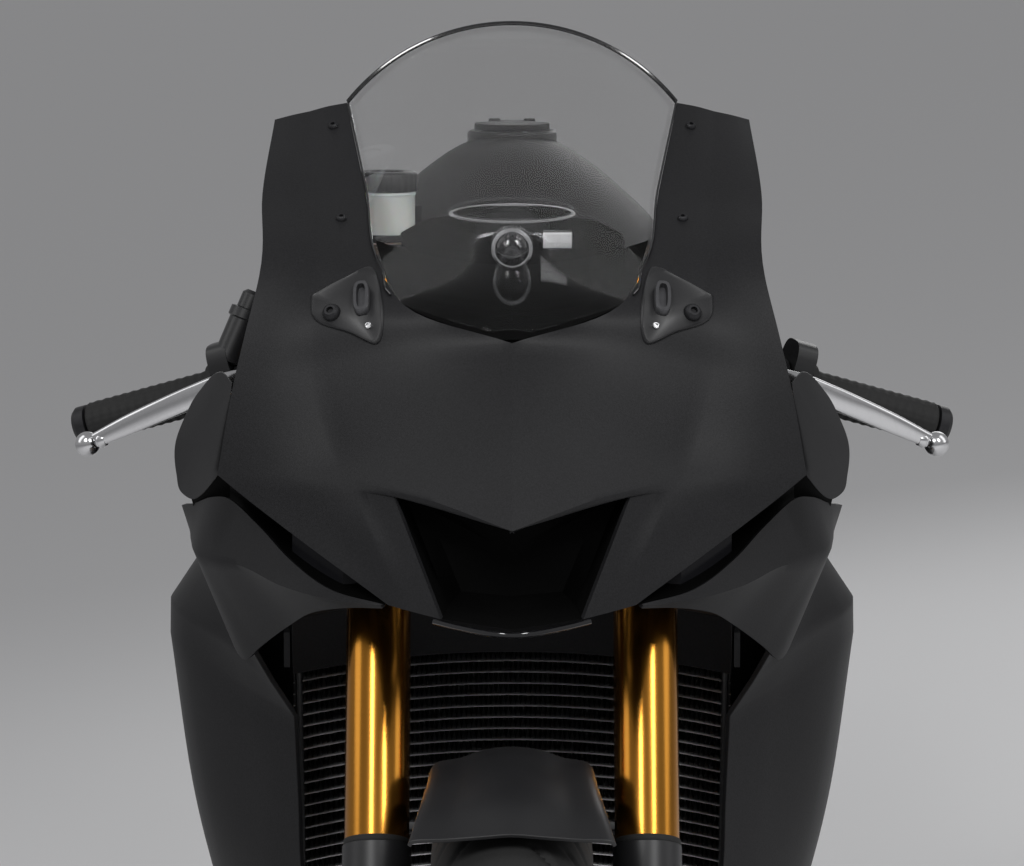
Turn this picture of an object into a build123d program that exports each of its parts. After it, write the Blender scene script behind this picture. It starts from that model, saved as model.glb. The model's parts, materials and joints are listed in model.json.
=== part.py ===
from build123d import *
import os
from math import cos, radians, sin, tan

# A track-dressed sport bike, parked on its side stand.
# Bike frame while modelling: +X is the bike's left, -Y is forward, +Z is up, and the wheels
# stand upright on Z = 0. The finished pieces are leaned onto the stand at the end.

# Driving dimensions, in millimetres and degrees
wheelbase = 1375.0
rake = 24.0
trail = 97.0
steer_lock = 25.0
lean = 10.0
front_tyre_radius = 300.0
front_tyre_width = 120.0
rear_tyre_radius = 315.0
rear_tyre_width = 180.0
rim_seat_radius = 216.0
fork_spacing = 207.0
fork_tube_radius = 25.0
slider_radius = 21.5
running_clearance = 0.05
seat_clearance = 0.2
skin = 5.0

# Wheel centres: a leaned tyre of crown radius r stands on its side by r / cos(lean)
front_crown = front_tyre_width / 2
rear_crown = rear_tyre_width / 2 + 5
front_axle_height = front_tyre_radius - front_crown + front_crown / cos(radians(lean))
rear_axle_height = rear_tyre_radius - rear_crown + rear_crown / cos(radians(lean))
front_axle_at = Vector(0, -wheelbase / 2, front_axle_height)
rear_axle_at = Vector(0, wheelbase / 2, rear_axle_height)

# Steering frame: heights run up the steering axis from the level of the front axle
steer_up = Vector(0, sin(radians(rake)), cos(radians(rake)))
steer_back = Vector(0, cos(radians(rake)), -sin(radians(rake)))
fork_offset = front_axle_height * sin(radians(rake)) - trail * cos(radians(rake))
steer_foot = front_axle_at + steer_back * fork_offset

# Heights up the fork, from the axle
tube_bottom_height = 248.0
lower_clamp_height = 470.0
lower_clamp_depth = 30.0
head_tube_length = 164.0
head_gap = 2.0
upper_clamp_height = lower_clamp_height + lower_clamp_depth + head_tube_length + 2 * head_gap
upper_clamp_depth = 22.0
clip_on_depth = 30.0
clip_on_gap = 2.0
clip_on_height = upper_clamp_height - clip_on_depth - clip_on_gap
fork_proud = 4.0
fork_top_height = upper_clamp_height + upper_clamp_depth + fork_proud
stem_radius = 15.0
head_tube_radius = 30.0

# Front wheel, brakes and mudguard
front_axle_radius = 12.5
front_axle_half = 128.0
axle_bore_radius = 8.0
front_hub_half = 62.0
front_disc_radius = 160.0
front_disc_at = 66.0
disc_thickness = 5.0
rear_axle_radius = 14.0
rear_axle_half = 166.0
rear_hub_half = 98.0
rear_disc_radius = 110.0
rear_sprocket_radius = 108.0
drive_sprocket_radius = 38.0
chain_line = 105.0
chain_width = 15.0
chain_height = 15.0

# Handlebars: the bar runs out, back and down from the fork leg
bar_out = Vector(220, 65, -66).normalized()
bar_forward = (Vector(0, -1, 0) + bar_out * bar_out.Y).normalized()
bar_up = bar_forward.cross(bar_out)
bar_radius = 11.0
grip_radius = 16.5
grip_start = 140.0
grip_end = 255.0
lever_ball_radius = 9.0

# Swingarm pivot and drive sprocket
pivot_at = Vector(0, 120, 400)
pivot_radius = 12.0
pivot_half = 122.0
drive_sprocket_at = (40.0, 405.0)
arm_inner = 122.0
arm_width = 30.0
spool_at = rear_axle_at + Vector(0, -96, 4)
spool_hole_radius = 4.0
spool_hole_depth = arm_width
spool_turn = 11.0

# Side stand: its foot lies on the leaned ground, its folded leg points back along the bike
stand_pivot_at = Vector(150, 128, 300)
stand_foot_out = 262.0
stand_foot_y = 55.0
stand_folded = Vector(0.14, 0.99, 0.06).normalized()
stand_leg_radius = 11.0
stand_pin_radius = 7.0
stand_eye_radius = 16.0
stand_eye_half = 12.0
ground_up = Vector(-sin(radians(lean)), 0, cos(radians(lean)))
foot_at = Vector(stand_foot_out, stand_foot_y, stand_foot_out * tan(radians(lean)))
foot_thickness = 6.0
stand_run = foot_at + ground_up * foot_thickness - stand_pivot_at
stand_axis = stand_run.normalized().cross(stand_folded).normalized()

# Steering frame helpers
def steer_plane(height, side=0.0, forward=0.0):
    """Plane across the steering axis at a height, moved sideways and forward in it."""
    origin = steer_foot + steer_up * height - steer_back * forward + Vector(side, 0, 0)
    return Plane(origin=origin, x_dir=(1, 0, 0), z_dir=steer_up)


def fork_plane(height, side):
    """Plane across one fork leg, side +1 for left and -1 for right."""
    return steer_plane(height, side * fork_spacing / 2, fork_offset)


def station(y):
    """Cross-section plane at one place along the bike: local axes are X and Z."""
    return Plane(origin=(0, y, 0), x_dir=(1, 0, 0), z_dir=(0, -1, 0))


def side_plane(x):
    """Plane of the bike's side profile: local axes are Y and Z."""
    return Plane(origin=(x, 0, 0), x_dir=(0, 1, 0), z_dir=(1, 0, 0))


def bar_point(along, forward=0.0, up=0.0):
    """Point on the left handlebar, along it from the fork leg, forward of it and above it."""
    start = fork_plane(clip_on_height + clip_on_depth / 2, 1).origin
    return start + bar_out * along + bar_forward * forward + bar_up * up


def bar_plane(along, forward=0.0, up=0.0):
    return Plane(origin=bar_point(along, forward, up), x_dir=bar_forward, z_dir=bar_out)


def inset(points, wall):
    """The same open outline moved inwards, to its left, by the wall, with mitred corners."""
    points = [Vector(*p) for p in points]
    normals = []
    for a, b in zip(points, points[1:]):
        run = (b - a).normalized()
        normals.append(Vector(-run.Y, run.X))
    moved = [points[0] + normals[0] * wall]
    for point, before, after in zip(points[1:], normals, normals[1:]):
        mid = (before + after).normalized()
        moved.append(point + mid * (wall / mid.dot(after)))
    moved.append(points[-1] + normals[-1] * wall)
    return [(p.X, p.Y) for p in moved]


def strip(plane, outer, inner):
    """Sketch of the thin wall between two open outlines, for a loft through several stations."""
    with BuildSketch(plane) as section:
        with BuildLine():
            Polyline(*outer, *reversed(inner), close=True)
        make_face()
    return section.sketch


nodes = {}


def keep(name, part):
    """Labels a finished piece and keeps it for the export."""
    part.label = name
    nodes[name] = part


def pair(part):
    """A left-hand piece and its mirror image, as one node of two solids."""
    with BuildPart() as both:
        add(part)
        mirror(about=Plane.YZ)
    return both.part


# Tyres: a round crown, sidewalls and a bead ledge over the rim's flange
def tyre(centre, radius, width, crown, bead_half):
    shoulder = width / 2
    shoulder_height = radius - crown + (crown**2 - shoulder**2) ** 0.5
    wall, ledge = 9.0, 6.6
    seat = rim_seat_radius + seat_clearance
    with BuildPart() as ring:
        with BuildSketch(Plane(origin=centre, x_dir=(1, 0, 0), z_dir=(0, -1, 0))):
            with BuildLine():
                ThreePointArc((-shoulder, shoulder_height), (0, radius), (shoulder, shoulder_height))
                Polyline(
                    (shoulder, shoulder_height),
                    (bead_half + 8, seat + ledge + 2),
                    (bead_half, seat + ledge),
                    (bead_half, seat),
                    (bead_half - wall, seat),
                    (shoulder - wall, shoulder_height),
                )
                ThreePointArc(
                    (shoulder - wall, shoulder_height), (0, radius - wall), (wall - shoulder, shoulder_height)
                )
                Polyline(
                    (wall - shoulder, shoulder_height),
                    (wall - bead_half, seat),
                    (-bead_half, seat),
                    (-bead_half, seat + ledge),
                    (-bead_half - 8, seat + ledge + 2),
                    (-shoulder, shoulder_height),
                )
            make_face()
        revolve(axis=Axis(centre, (1, 0, 0)))
    return ring.part


# Cast wheels: a drop-centre barrel, a hub and five tapered spokes
def wheel(centre, bead_half, hub_radius, hub_half, bore_radius, spoke_root, spoke_tip):
    flange, seat, well, inner = 6.2, rim_seat_radius, 198.0, 190.0
    half = bead_half + 8
    spoke_count = 5
    with BuildPart() as rim:
        with BuildSketch(Plane(origin=centre, x_dir=(1, 0, 0), z_dir=(0, -1, 0))):
            outline = [
                (half, seat + flange),
                (bead_half + 0.3, seat + flange),
                (bead_half + 0.3, seat),
                (bead_half - 13, seat),
                (bead_half - 22, well),
            ]
            inside = [(half, seat - 3), (half - 6, seat - 9), (bead_half - 14, seat - 11), (bead_half - 22, inner)]
            mirrored = [(-x, z) for x, z in reversed(outline)]
            mirrored_inside = [(-x, z) for x, z in inside]
            with BuildLine():
                Polyline(*outline, *mirrored, *mirrored_inside, *reversed(inside), close=True)
            make_face()
        revolve(axis=Axis(centre, (1, 0, 0)))
        with BuildSketch(Plane(origin=centre - Vector(hub_half, 0, 0), x_dir=(0, 1, 0), z_dir=(1, 0, 0))):
            Circle(hub_radius)
        extrude(amount=2 * hub_half)
        for k in range(spoke_count):
            turn = radians(90 + 360 / spoke_count * k)
            out = Vector(0, cos(turn), sin(turn))
            for reach, size in ((hub_radius - 4, spoke_root), (inner + 2, spoke_tip)):
                with BuildSketch(Plane(origin=centre + out * reach, x_dir=(1, 0, 0), z_dir=out)):
                    Rectangle(*size)
            loft()
        with BuildSketch(Plane(origin=centre - Vector(hub_half, 0, 0), x_dir=(0, 1, 0), z_dir=(1, 0, 0))):
            Circle(bore_radius)
        extrude(amount=2 * hub_half, mode=Mode.SUBTRACT)
    return rim.part


def disc(centre, at, radius, carrier_inner, thickness):
    """Brake disc: a rotor ring on a thinner carrier with round windows."""
    window_count = 6
    band = 30.0
    window = (radius - band - carrier_inner) * 0.3
    with BuildPart() as rotor:
        with BuildSketch(Plane(origin=centre + Vector(at - thickness / 2, 0, 0), x_dir=(0, 1, 0), z_dir=(1, 0, 0))):
            Circle(radius)
            Circle(carrier_inner, mode=Mode.SUBTRACT)
            with PolarLocations((radius - band + carrier_inner) / 2, window_count):
                Circle(window, mode=Mode.SUBTRACT)
        extrude(amount=thickness)
    return rotor.part


front_bead = 44.0
front_disc_seat = front_hub_half + disc_thickness / 2
rear_bead = 70.0
keep("front_tyre", tyre(front_axle_at, front_tyre_radius, front_tyre_width, front_crown, front_bead))
keep("rear_tyre", tyre(rear_axle_at, rear_tyre_radius, rear_tyre_width, rear_crown, rear_bead))
keep(
    "front_rim",
    wheel(front_axle_at, front_bead, 36.0, front_hub_half, front_axle_radius + running_clearance, (46, 44), (30, 26)),
)
keep(
    "rear_rim",
    wheel(rear_axle_at, rear_bead, 46.0, rear_hub_half, rear_axle_radius + running_clearance, (60, 50), (40, 30)),
)
with BuildPart() as front_discs:
    for side in (-1, 1):
        add(disc(front_axle_at, side * front_disc_seat, front_disc_radius, front_axle_radius + 10, disc_thickness))
keep("front_discs", front_discs.part)
rear_disc_seat = rear_hub_half + disc_thickness / 2
keep(
    "rear_disc",
    disc(rear_axle_at, -rear_disc_seat, rear_disc_radius, rear_axle_radius + 10, disc_thickness),
)
keep(
    "rear_sprocket",
    disc(rear_axle_at, rear_disc_seat, rear_sprocket_radius - chain_height / 2 - 1, rear_axle_radius + 10, disc_thickness),
)

# Front axle: a hollow spindle between the fork lugs
with BuildPart() as front_axle:
    with BuildSketch(Plane(origin=front_axle_at - Vector(front_axle_half, 0, 0), x_dir=(0, 1, 0), z_dir=(1, 0, 0))):
        Circle(front_axle_radius)
        Circle(axle_bore_radius, mode=Mode.SUBTRACT)
    extrude(amount=2 * front_axle_half)
keep("front_axle", front_axle.part)

# Upside-down fork: outer tubes, polished sliders and axle lugs
with BuildPart() as fork_tubes:
    for side in (-1, 1):
        with BuildSketch(fork_plane(tube_bottom_height, side)):
            Circle(fork_tube_radius)
        extrude(amount=fork_top_height - tube_bottom_height)
        with BuildSketch(fork_plane(fork_top_height, side)):
            RegularPolygon(fork_tube_radius * 0.7, 6)
        extrude(amount=8)
keep("fork_tubes", fork_tubes.part)

lug_top = 120.0
caliper_width = 30.0
caliper_shift = 4.0
ear_inner = front_disc_seat + caliper_shift + caliper_width / 2 + seat_clearance
ear_outer = ear_inner + 15
with BuildPart() as fork_lowers:
    for side in (-1, 1):
        with BuildSketch(fork_plane(lug_top, side)):
            Circle(slider_radius)
        extrude(amount=tube_bottom_height - lug_top)
        with BuildSketch(fork_plane(-34, side)):
            SlotOverall(64, 46, rotation=90)
        extrude(amount=lug_top + 34)
        with BuildSketch(steer_plane(92, side * (ear_inner + ear_outer) / 2, fork_offset - 58)):
            Rectangle(ear_outer - ear_inner, 100)
        extrude(amount=44)
    with BuildSketch(Plane(origin=front_axle_at - Vector(front_axle_half, 0, 0), x_dir=(0, 1, 0), z_dir=(1, 0, 0))):
        Circle(front_axle_radius + seat_clearance / 2)
    extrude(amount=2 * front_axle_half, mode=Mode.SUBTRACT)
keep("fork_lowers", fork_lowers.part)


def clamp_plate(height, depth, rim):
    """Bridge between the fork legs and the steering stem."""
    with BuildPart() as plate:
        with BuildSketch(steer_plane(height)):
            with Locations((-fork_spacing / 2, -fork_offset), (fork_spacing / 2, -fork_offset), (0, 0)):
                Circle(fork_tube_radius + rim)
            make_hull()
            with Locations((-fork_spacing / 2, -fork_offset), (fork_spacing / 2, -fork_offset)):
                Circle(fork_tube_radius + seat_clearance / 2, mode=Mode.SUBTRACT)
        extrude(amount=depth)
    return plate.part


stem_top_height = upper_clamp_height + upper_clamp_depth + 12
with BuildPart() as lower_clamp:
    add(clamp_plate(lower_clamp_height, lower_clamp_depth, 9.0))
    with BuildSketch(steer_plane(lower_clamp_height)):
        Circle(stem_radius)
    extrude(amount=stem_top_height - lower_clamp_height)
keep("lower_clamp", lower_clamp.part)

with BuildPart() as upper_clamp:
    add(clamp_plate(upper_clamp_height, upper_clamp_depth, 8.0))
    with BuildSketch(steer_plane(upper_clamp_height)):
        Circle(stem_radius + seat_clearance / 2)
    extrude(amount=upper_clamp_depth, mode=Mode.SUBTRACT)
    with BuildSketch(steer_plane(upper_clamp_height + upper_clamp_depth)):
        RegularPolygon(24, 6)
        Circle(stem_radius + seat_clearance / 2, mode=Mode.SUBTRACT)
    extrude(amount=10)
keep("upper_clamp", upper_clamp.part)

# Clip-on handlebars below the upper clamp, grips, levers and their perches
with BuildPart() as clip_on:
    with BuildSketch(fork_plane(clip_on_height, 1)):
        Circle(fork_tube_radius + 8)
        Circle(fork_tube_radius + seat_clearance / 2, mode=Mode.SUBTRACT)
    extrude(amount=clip_on_depth)
    with BuildSketch(bar_plane(fork_tube_radius + 4)):
        Circle(bar_radius)
    extrude(amount=grip_end - fork_tube_radius - 4)
keep("clip_ons", pair(clip_on.part))

with BuildPart() as grip:
    with BuildSketch(bar_plane(grip_start)):
        Circle(grip_radius)
        Circle(bar_radius + seat_clearance / 2, mode=Mode.SUBTRACT)
    extrude(amount=grip_end - grip_start)
    with BuildSketch(bar_plane(grip_start)):
        Circle(grip_radius + 4)
        Circle(bar_radius + seat_clearance / 2, mode=Mode.SUBTRACT)
    extrude(amount=6)
    with BuildSketch(bar_plane(grip_end)):
        Circle(grip_radius - 1)
    extrude(amount=12)
keep("grips", pair(grip.part))

lever_path = [(98, 34, 0), (118, 50, -4), (170, 56, -8), (236, 54, -10)]
lever_tip = (242, 54, -10)
perch_start = 96.0
perch_length = 24.0
with BuildPart() as clutch_control:
    with BuildSketch(bar_plane(perch_start)):
        Circle(bar_radius + 7)
        Circle(bar_radius + seat_clearance / 2, mode=Mode.SUBTRACT)
    extrude(amount=perch_length)
    with BuildSketch(bar_plane(perch_start, (bar_radius + 40) / 2, 0)):
        Rectangle(40 - bar_radius, 14)
    extrude(amount=perch_length)
    with BuildLine() as lever_line:
        FilletPolyline(*[bar_point(*p) for p in lever_path], radius=20)
    with BuildSketch(Plane(origin=lever_line.line @ 0, x_dir=bar_up, z_dir=lever_line.line % 0)):
        Rectangle(9, 14)
    sweep(path=lever_line.line)
    with Locations(bar_point(*lever_tip)):
        Sphere(lever_ball_radius)
keep("clutch_control", clutch_control.part)

keep("brake_control", mirror(clutch_control.part, about=Plane.YZ))

# Brake fluid reservoir on its post above the right end of the upper clamp
reservoir_radius = 23.0
reservoir_height = 42.0
reservoir_cap = 16.0
post_side, post_back = -76.0, 12.0
post_height = 70.0
post_plane = steer_plane(upper_clamp_height + upper_clamp_depth + seat_clearance, post_side, post_back)
reservoir_at = post_plane.origin + Vector(-reservoir_radius + 1, 39, 44.4)
with BuildPart() as brake_reservoir:
    with BuildSketch(Plane(origin=reservoir_at, x_dir=(1, 0, 0), z_dir=(0, 0, 1))):
        Circle(reservoir_radius)
    extrude(amount=reservoir_height)
    with BuildSketch(Plane(origin=reservoir_at + Vector(0, 0, reservoir_height), x_dir=(1, 0, 0), z_dir=(0, 0, 1))):
        Circle(reservoir_radius + 2)
    extrude(amount=reservoir_cap)
    with BuildSketch(post_plane):
        Rectangle(14, 10)
    extrude(amount=post_height)
keep("brake_reservoir", brake_reservoir.part)

# Front mudguard: an arched band round the tyre, on struts to the sliders
guard_gap = 14.0
guard_half = 70.0
guard_wall = 3.5
guard_rear, guard_front = -55.0, 25.0
guard_radius = front_tyre_radius + guard_gap


def around_front(angle):
    """Radial plane of the front wheel, its angle counted forward from straight up."""
    out = Vector(0, -sin(radians(angle)), cos(radians(angle)))
    return Plane(origin=front_axle_at, x_dir=(1, 0, 0), z_dir=Vector(1, 0, 0).cross(out))


with BuildPart() as front_mudguard:
    with BuildSketch(around_front(guard_rear)):
        with BuildLine():
            ThreePointArc((-guard_half, guard_radius - 22), (0, guard_radius), (guard_half, guard_radius - 22))
            Line((guard_half, guard_radius - 22), (guard_half, guard_radius - 22 + guard_wall))
            ThreePointArc(
                (guard_half, guard_radius - 22 + guard_wall),
                (0, guard_radius + guard_wall),
                (-guard_half, guard_radius - 22 + guard_wall),
            )
            Line((-guard_half, guard_radius - 22 + guard_wall), (-guard_half, guard_radius - 22))
        make_face()
    revolve(axis=Axis(front_axle_at, (1, 0, 0)), revolution_arc=guard_front - guard_rear)
    for side in (-1, 1):
        inner = guard_half - guard_wall
        for outer, low, high, length in (
            (fork_spacing / 2 - fork_tube_radius - seat_clearance, 188, guard_radius - 22, 26),
            (fork_spacing / 2 - slider_radius - seat_clearance, 192, 240, 14),
        ):
            with BuildSketch(steer_plane(low, side * (inner + outer) / 2, fork_offset)):
                Rectangle(outer - inner, length)
            extrude(amount=high - low)
keep("front_mudguard", front_mudguard.part)

# Brake calipers: blocks slotted over the discs, behind the fork legs
caliper_turn = rake + 38.0


def caliper(centre, seat, turn, reach, size, side, slot_reach):
    """Block at a turn back from straight up, reaching from inside the disc rim outwards."""
    out = Vector(0, sin(radians(turn)), cos(radians(turn)))
    width, along = size
    with BuildPart() as block:
        with BuildSketch(Plane(origin=centre + out * reach[0], x_dir=(1, 0, 0), z_dir=out)):
            with Locations((seat + side * caliper_shift, 0)):
                RectangleRounded(width, along, 6)
        extrude(amount=reach[1] - reach[0])
        with BuildSketch(Plane(origin=centre + out * reach[0], x_dir=(1, 0, 0), z_dir=out)):
            with Locations((seat, 0)):
                Rectangle(disc_thickness + 4, along + 20)
        extrude(amount=slot_reach - reach[0], mode=Mode.SUBTRACT)
    return block.part


with BuildPart() as front_calipers:
    for side in (-1, 1):
        add(
            caliper(
                front_axle_at,
                side * front_disc_seat,
                caliper_turn,
                (122, 182),
                (caliper_width, 84),
                side,
                front_disc_radius + 5,
            )
        )
keep("front_calipers", front_calipers.part)
keep(
    "rear_caliper",
    caliper(
        rear_axle_at,
        -rear_disc_seat,
        -85,
        (72, 134),
        (2 * (arm_inner - seat_clearance - rear_disc_seat - caliper_shift), 60),
        -1,
        rear_disc_radius + 4,
    ),
)

# Twin-spar frame: head tube, swept spars, swingarm plates, seat rails and the side stand's lug
# Columns: y, centre x, centre z, width, height
spar_stations = [
    (-395, 36, 830, 40, 110),
    (-200, 130, 720, 34, 120),
    (30, 134, 560, 34, 130),
    (150, 134, 410, 34, 160),
]
rail_stations = [
    (-60, 122, 668, 18, 30),
    (200, 92, 735, 18, 30),
    (404, 76, 785, 18, 30),
    (640, 60, 843, 18, 30),
]
radiator_half = 176.0
head_bottom = lower_clamp_height + lower_clamp_depth + head_gap
head_top = head_bottom + head_tube_length
tank_floor = 790.0
block_top = 600.0
engine_rear = 60.0
peg_boss_face = 154.0
# Columns: x, y and z ranges of the bars and lugs across the frame
frame_blocks = [
    ((-120, 120), (-230, -190), (768, tank_floor - seat_clearance)),
    ((-118, 118), (20, 52), (560, 600)),
    ((-66, 66), (560, 580), (812, 832)),
    ((-40, 40), (engine_rear, 114), (380, 420)),
    ((110, 146), (-220, -160), (block_top, 690)),
    ((-146, -110), (-220, -160), (block_top, 690)),
    ((120, peg_boss_face), (126, 148), (385, 470)),
    ((-peg_boss_face, -120), (126, 148), (385, 470)),
    ((118, 130), (110, 150), (280, 345)),
    ((70, radiator_half + 5), (-340, -320), (742, 760)),
    ((-radiator_half - 5, -70), (-340, -320), (742, 760)),
]
hanger_outline = [(-340, 760), (-320, 760), (-320, 742), (-412, 640), (-440, 640), (-440, 668)]
with BuildPart() as frame:
    for stations in (spar_stations, rail_stations):
        for y, x, z, width, height in stations:
            with BuildSketch(station(y)):
                with Locations((x, z)):
                    Rectangle(width, height)
        loft(ruled=True)
    mirror(about=Plane.YZ)
    for (x0, x1), (y0, y1), (z0, z1) in frame_blocks:
        with Locations(((x0 + x1) / 2, (y0 + y1) / 2, (z0 + z1) / 2)):
            Box(x1 - x0, y1 - y0, z1 - z0)
    for side in (-1, 1):
        with BuildSketch(side_plane(side * (radiator_half + seat_clearance))):
            with BuildLine():
                Polyline(*hanger_outline, close=True)
            make_face()
        extrude(amount=side * (5 - seat_clearance))
    with BuildSketch(steer_plane(head_bottom)):
        Circle(head_tube_radius)
    extrude(amount=head_top - head_bottom)
    with BuildSketch(steer_plane(head_bottom - 40)):
        Circle(stem_radius + running_clearance)
    extrude(amount=head_top - head_bottom + 80, mode=Mode.SUBTRACT)
    with BuildSketch(side_plane(-pivot_half)):
        with Locations((pivot_at.Y, pivot_at.Z)):
            Circle(pivot_radius)
    extrude(amount=2 * pivot_half)
    with BuildSketch(Plane(origin=stand_pivot_at - stand_axis * 40, z_dir=stand_axis)):
        Circle(stand_eye_radius + 4)
    extrude(amount=40 - stand_eye_half - 1)
    with BuildSketch(Plane(origin=stand_pivot_at - stand_axis * 40, z_dir=stand_axis)):
        Circle(stand_pin_radius)
    extrude(amount=40 + stand_eye_half + 4)
keep("frame", frame.part)

# Swingarm: two tapered arms behind a cross box, legs forward to the pivot shaft, and the clamped axle
cross_front, cross_rear = 196.0, 270.0
cross_low, cross_high = 345.0, 428.0
leg_inner, leg_outer = 60.0, 92.0
with BuildPart() as swingarm:
    for side in (-1, 1):
        with BuildSketch(side_plane(side * arm_inner)):
            with BuildLine():
                Polyline(
                    (cross_front, cross_high),
                    (rear_axle_at.Y - 60, rear_axle_at.Z + 30),
                    (rear_axle_at.Y + 50, rear_axle_at.Z + 28),
                    (rear_axle_at.Y + 50, rear_axle_at.Z - 28),
                    (rear_axle_at.Y - 60, rear_axle_at.Z - 30),
                    (cross_front, cross_low),
                    close=True,
                )
            make_face()
        extrude(amount=side * arm_width)
        with BuildSketch(side_plane(side * leg_inner)):
            with BuildLine():
                Polyline(
                    (pivot_at.Y - 30, pivot_at.Z - 30),
                    (cross_front + 4, cross_low),
                    (cross_front + 4, cross_high),
                    (pivot_at.Y - 30, pivot_at.Z + 28),
                    close=True,
                )
            make_face()
        extrude(amount=side * (leg_outer - leg_inner))
    with BuildSketch(side_plane(-arm_inner - arm_width)):
        with Locations(((cross_front + cross_rear) / 2, (cross_low + cross_high) / 2)):
            Rectangle(cross_rear - cross_front, cross_high - cross_low)
    extrude(amount=2 * (arm_inner + arm_width))
    with BuildSketch(side_plane(-pivot_half)):
        with Locations((pivot_at.Y, pivot_at.Z)):
            Circle(pivot_radius + seat_clearance / 2)
    extrude(amount=2 * pivot_half, mode=Mode.SUBTRACT)
    with BuildSketch(side_plane(-rear_axle_half)):
        with Locations((rear_axle_at.Y, rear_axle_at.Z)):
            Circle(rear_axle_radius)
    extrude(amount=2 * rear_axle_half)
    for side in (-1, 1):
        with BuildSketch(side_plane(side * (arm_inner + arm_width))):
            with Locations(Location((spool_at.Y, spool_at.Z, 0), (0, 0, spool_turn))):
                Circle(spool_hole_radius)
        extrude(amount=-side * spool_hole_depth, mode=Mode.SUBTRACT)
keep("swingarm", swingarm.part)

# Rear shock between the swingarm's cross box and the frame's cross bar
shock_low = Vector(0, 236, cross_high + 24)
shock_high = Vector(0, 84, 580)
with BuildPart() as rear_shock:
    with Locations((0, 236, cross_high + 14)):
        Box(26, 40, 28)
    with Locations((0, 72, 580)):
        Box(26, 40 - 2 * seat_clearance, 34)
    with BuildSketch(Plane(origin=shock_low, x_dir=(1, 0, 0), z_dir=shock_high - shock_low)):
        Circle(25)
    extrude(amount=(shock_high - shock_low).length)
keep("rear_shock", rear_shock.part)

# Drive chain: one loop round both sprockets
with BuildPart() as drive_chain:
    for reach, mode in ((chain_height / 2, Mode.ADD), (-chain_height / 2, Mode.SUBTRACT)):
        with BuildSketch(side_plane(chain_line - chain_width / 2)):
            with Locations(drive_sprocket_at):
                Circle(drive_sprocket_radius + reach)
            with Locations((rear_axle_at.Y, rear_axle_at.Z)):
                Circle(rear_sprocket_radius + reach)
            make_hull()
        extrude(amount=chain_width, mode=mode)
keep("drive_chain", drive_chain.part)

# Engine: crankcase and inclined cylinder block, round side covers, a pocket for the drive sprocket
crankcase_half = 165.0
crankcase_floor = 270.0
sprocket_pocket = 88.0
port_low, port_high = Vector(0, -240, 440), Vector(0, -295, block_top)
sump_half = 118.0
sump_top = 332.0
with BuildPart() as engine:
    with BuildSketch(side_plane(-crankcase_half)):
        with BuildLine():
            Polyline(
                (-230, sump_top),
                (engine_rear, sump_top),
                (engine_rear, 438),
                (-90, 480),
                (-125, block_top),
                (port_high.Y, port_high.Z),
                (port_low.Y, port_low.Z),
                close=True,
            )
        make_face()
    extrude(amount=2 * crankcase_half)
    with BuildSketch(side_plane(-sump_half)):
        with BuildLine():
            Polyline(
                (-215, crankcase_floor),
                (engine_rear - 30, crankcase_floor),
                (engine_rear, sump_top),
                (-230, sump_top),
                close=True,
            )
        make_face()
    extrude(amount=2 * sump_half)
    for x, y, z, radius in ((crankcase_half, -118, 404, 62), (-crankcase_half - 22, -70, 404, 66)):
        with BuildSketch(side_plane(x)):
            with Locations((y, z)):
                Circle(radius)
        extrude(amount=22)
    with Locations((sprocket_pocket + 100, engine_rear, 400)):
        Box(200, 170, 140, mode=Mode.SUBTRACT)
keep("engine", engine.part)

with BuildPart() as drive_sprocket:
    with BuildSketch(side_plane(sprocket_pocket)):
        with Locations(drive_sprocket_at):
            Circle(16)
    extrude(amount=chain_line + 10 - sprocket_pocket)
    with BuildSketch(side_plane(chain_line - disc_thickness / 2)):
        with Locations(drive_sprocket_at):
            Circle(drive_sprocket_radius - chain_height / 2 - seat_clearance)
    extrude(amount=disc_thickness)
keep("drive_sprocket", drive_sprocket.part)

# Exhaust: four headers off the block's front face, down and under to a collector, then a short can
port_out = Vector(1, 0, 0).cross(port_high - port_low).normalized()
port_at = (port_low + port_high) * 0.5 + port_out * seat_clearance
header_radius = 18.0
# Columns: x at the port, x under the engine
header_lanes = [(-120, -63), (-42, -21), (42, 21), (120, 63)]
collector_start, collector_end = -70.0, 20.0
header_floor = 218.0
pipe_radius = 26.0
pipe_turn = Vector(-20, 84, 218)
can_start = Vector(-104, 136, 234)
can_end = Vector(-150, 336, 258)
with BuildPart() as exhaust_headers:
    for x_port, x_under in header_lanes:
        start = Vector(x_port, port_at.Y, port_at.Z)
        with BuildLine() as lane:
            FilletPolyline(
                start,
                start + port_out * 38,
                (x_port * 0.85, -280, 340),
                (x_under, -250, header_floor),
                (x_under, collector_start, header_floor - 4),
                radius=24,
            )
        with BuildSketch(Plane(origin=start, x_dir=(1, 0, 0), z_dir=port_out)):
            Circle(header_radius)
        sweep(path=lane.line)
    for y, width, height in ((collector_start - 10, 168, 44), (collector_end, 70, 46)):
        with BuildSketch(station(y)):
            with Locations((-20 * (y > 0), header_floor - 4)):
                RectangleRounded(width, height, 18)
    loft()
    with BuildLine() as tail_pipe:
        FilletPolyline((-20, collector_end - 12, header_floor - 4), pipe_turn, can_start, radius=40)
    with BuildSketch(Plane(origin=tail_pipe.line @ 0, z_dir=tail_pipe.line % 0)):
        Circle(pipe_radius)
    sweep(path=tail_pipe.line)
keep("exhaust_headers", exhaust_headers.part)

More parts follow.
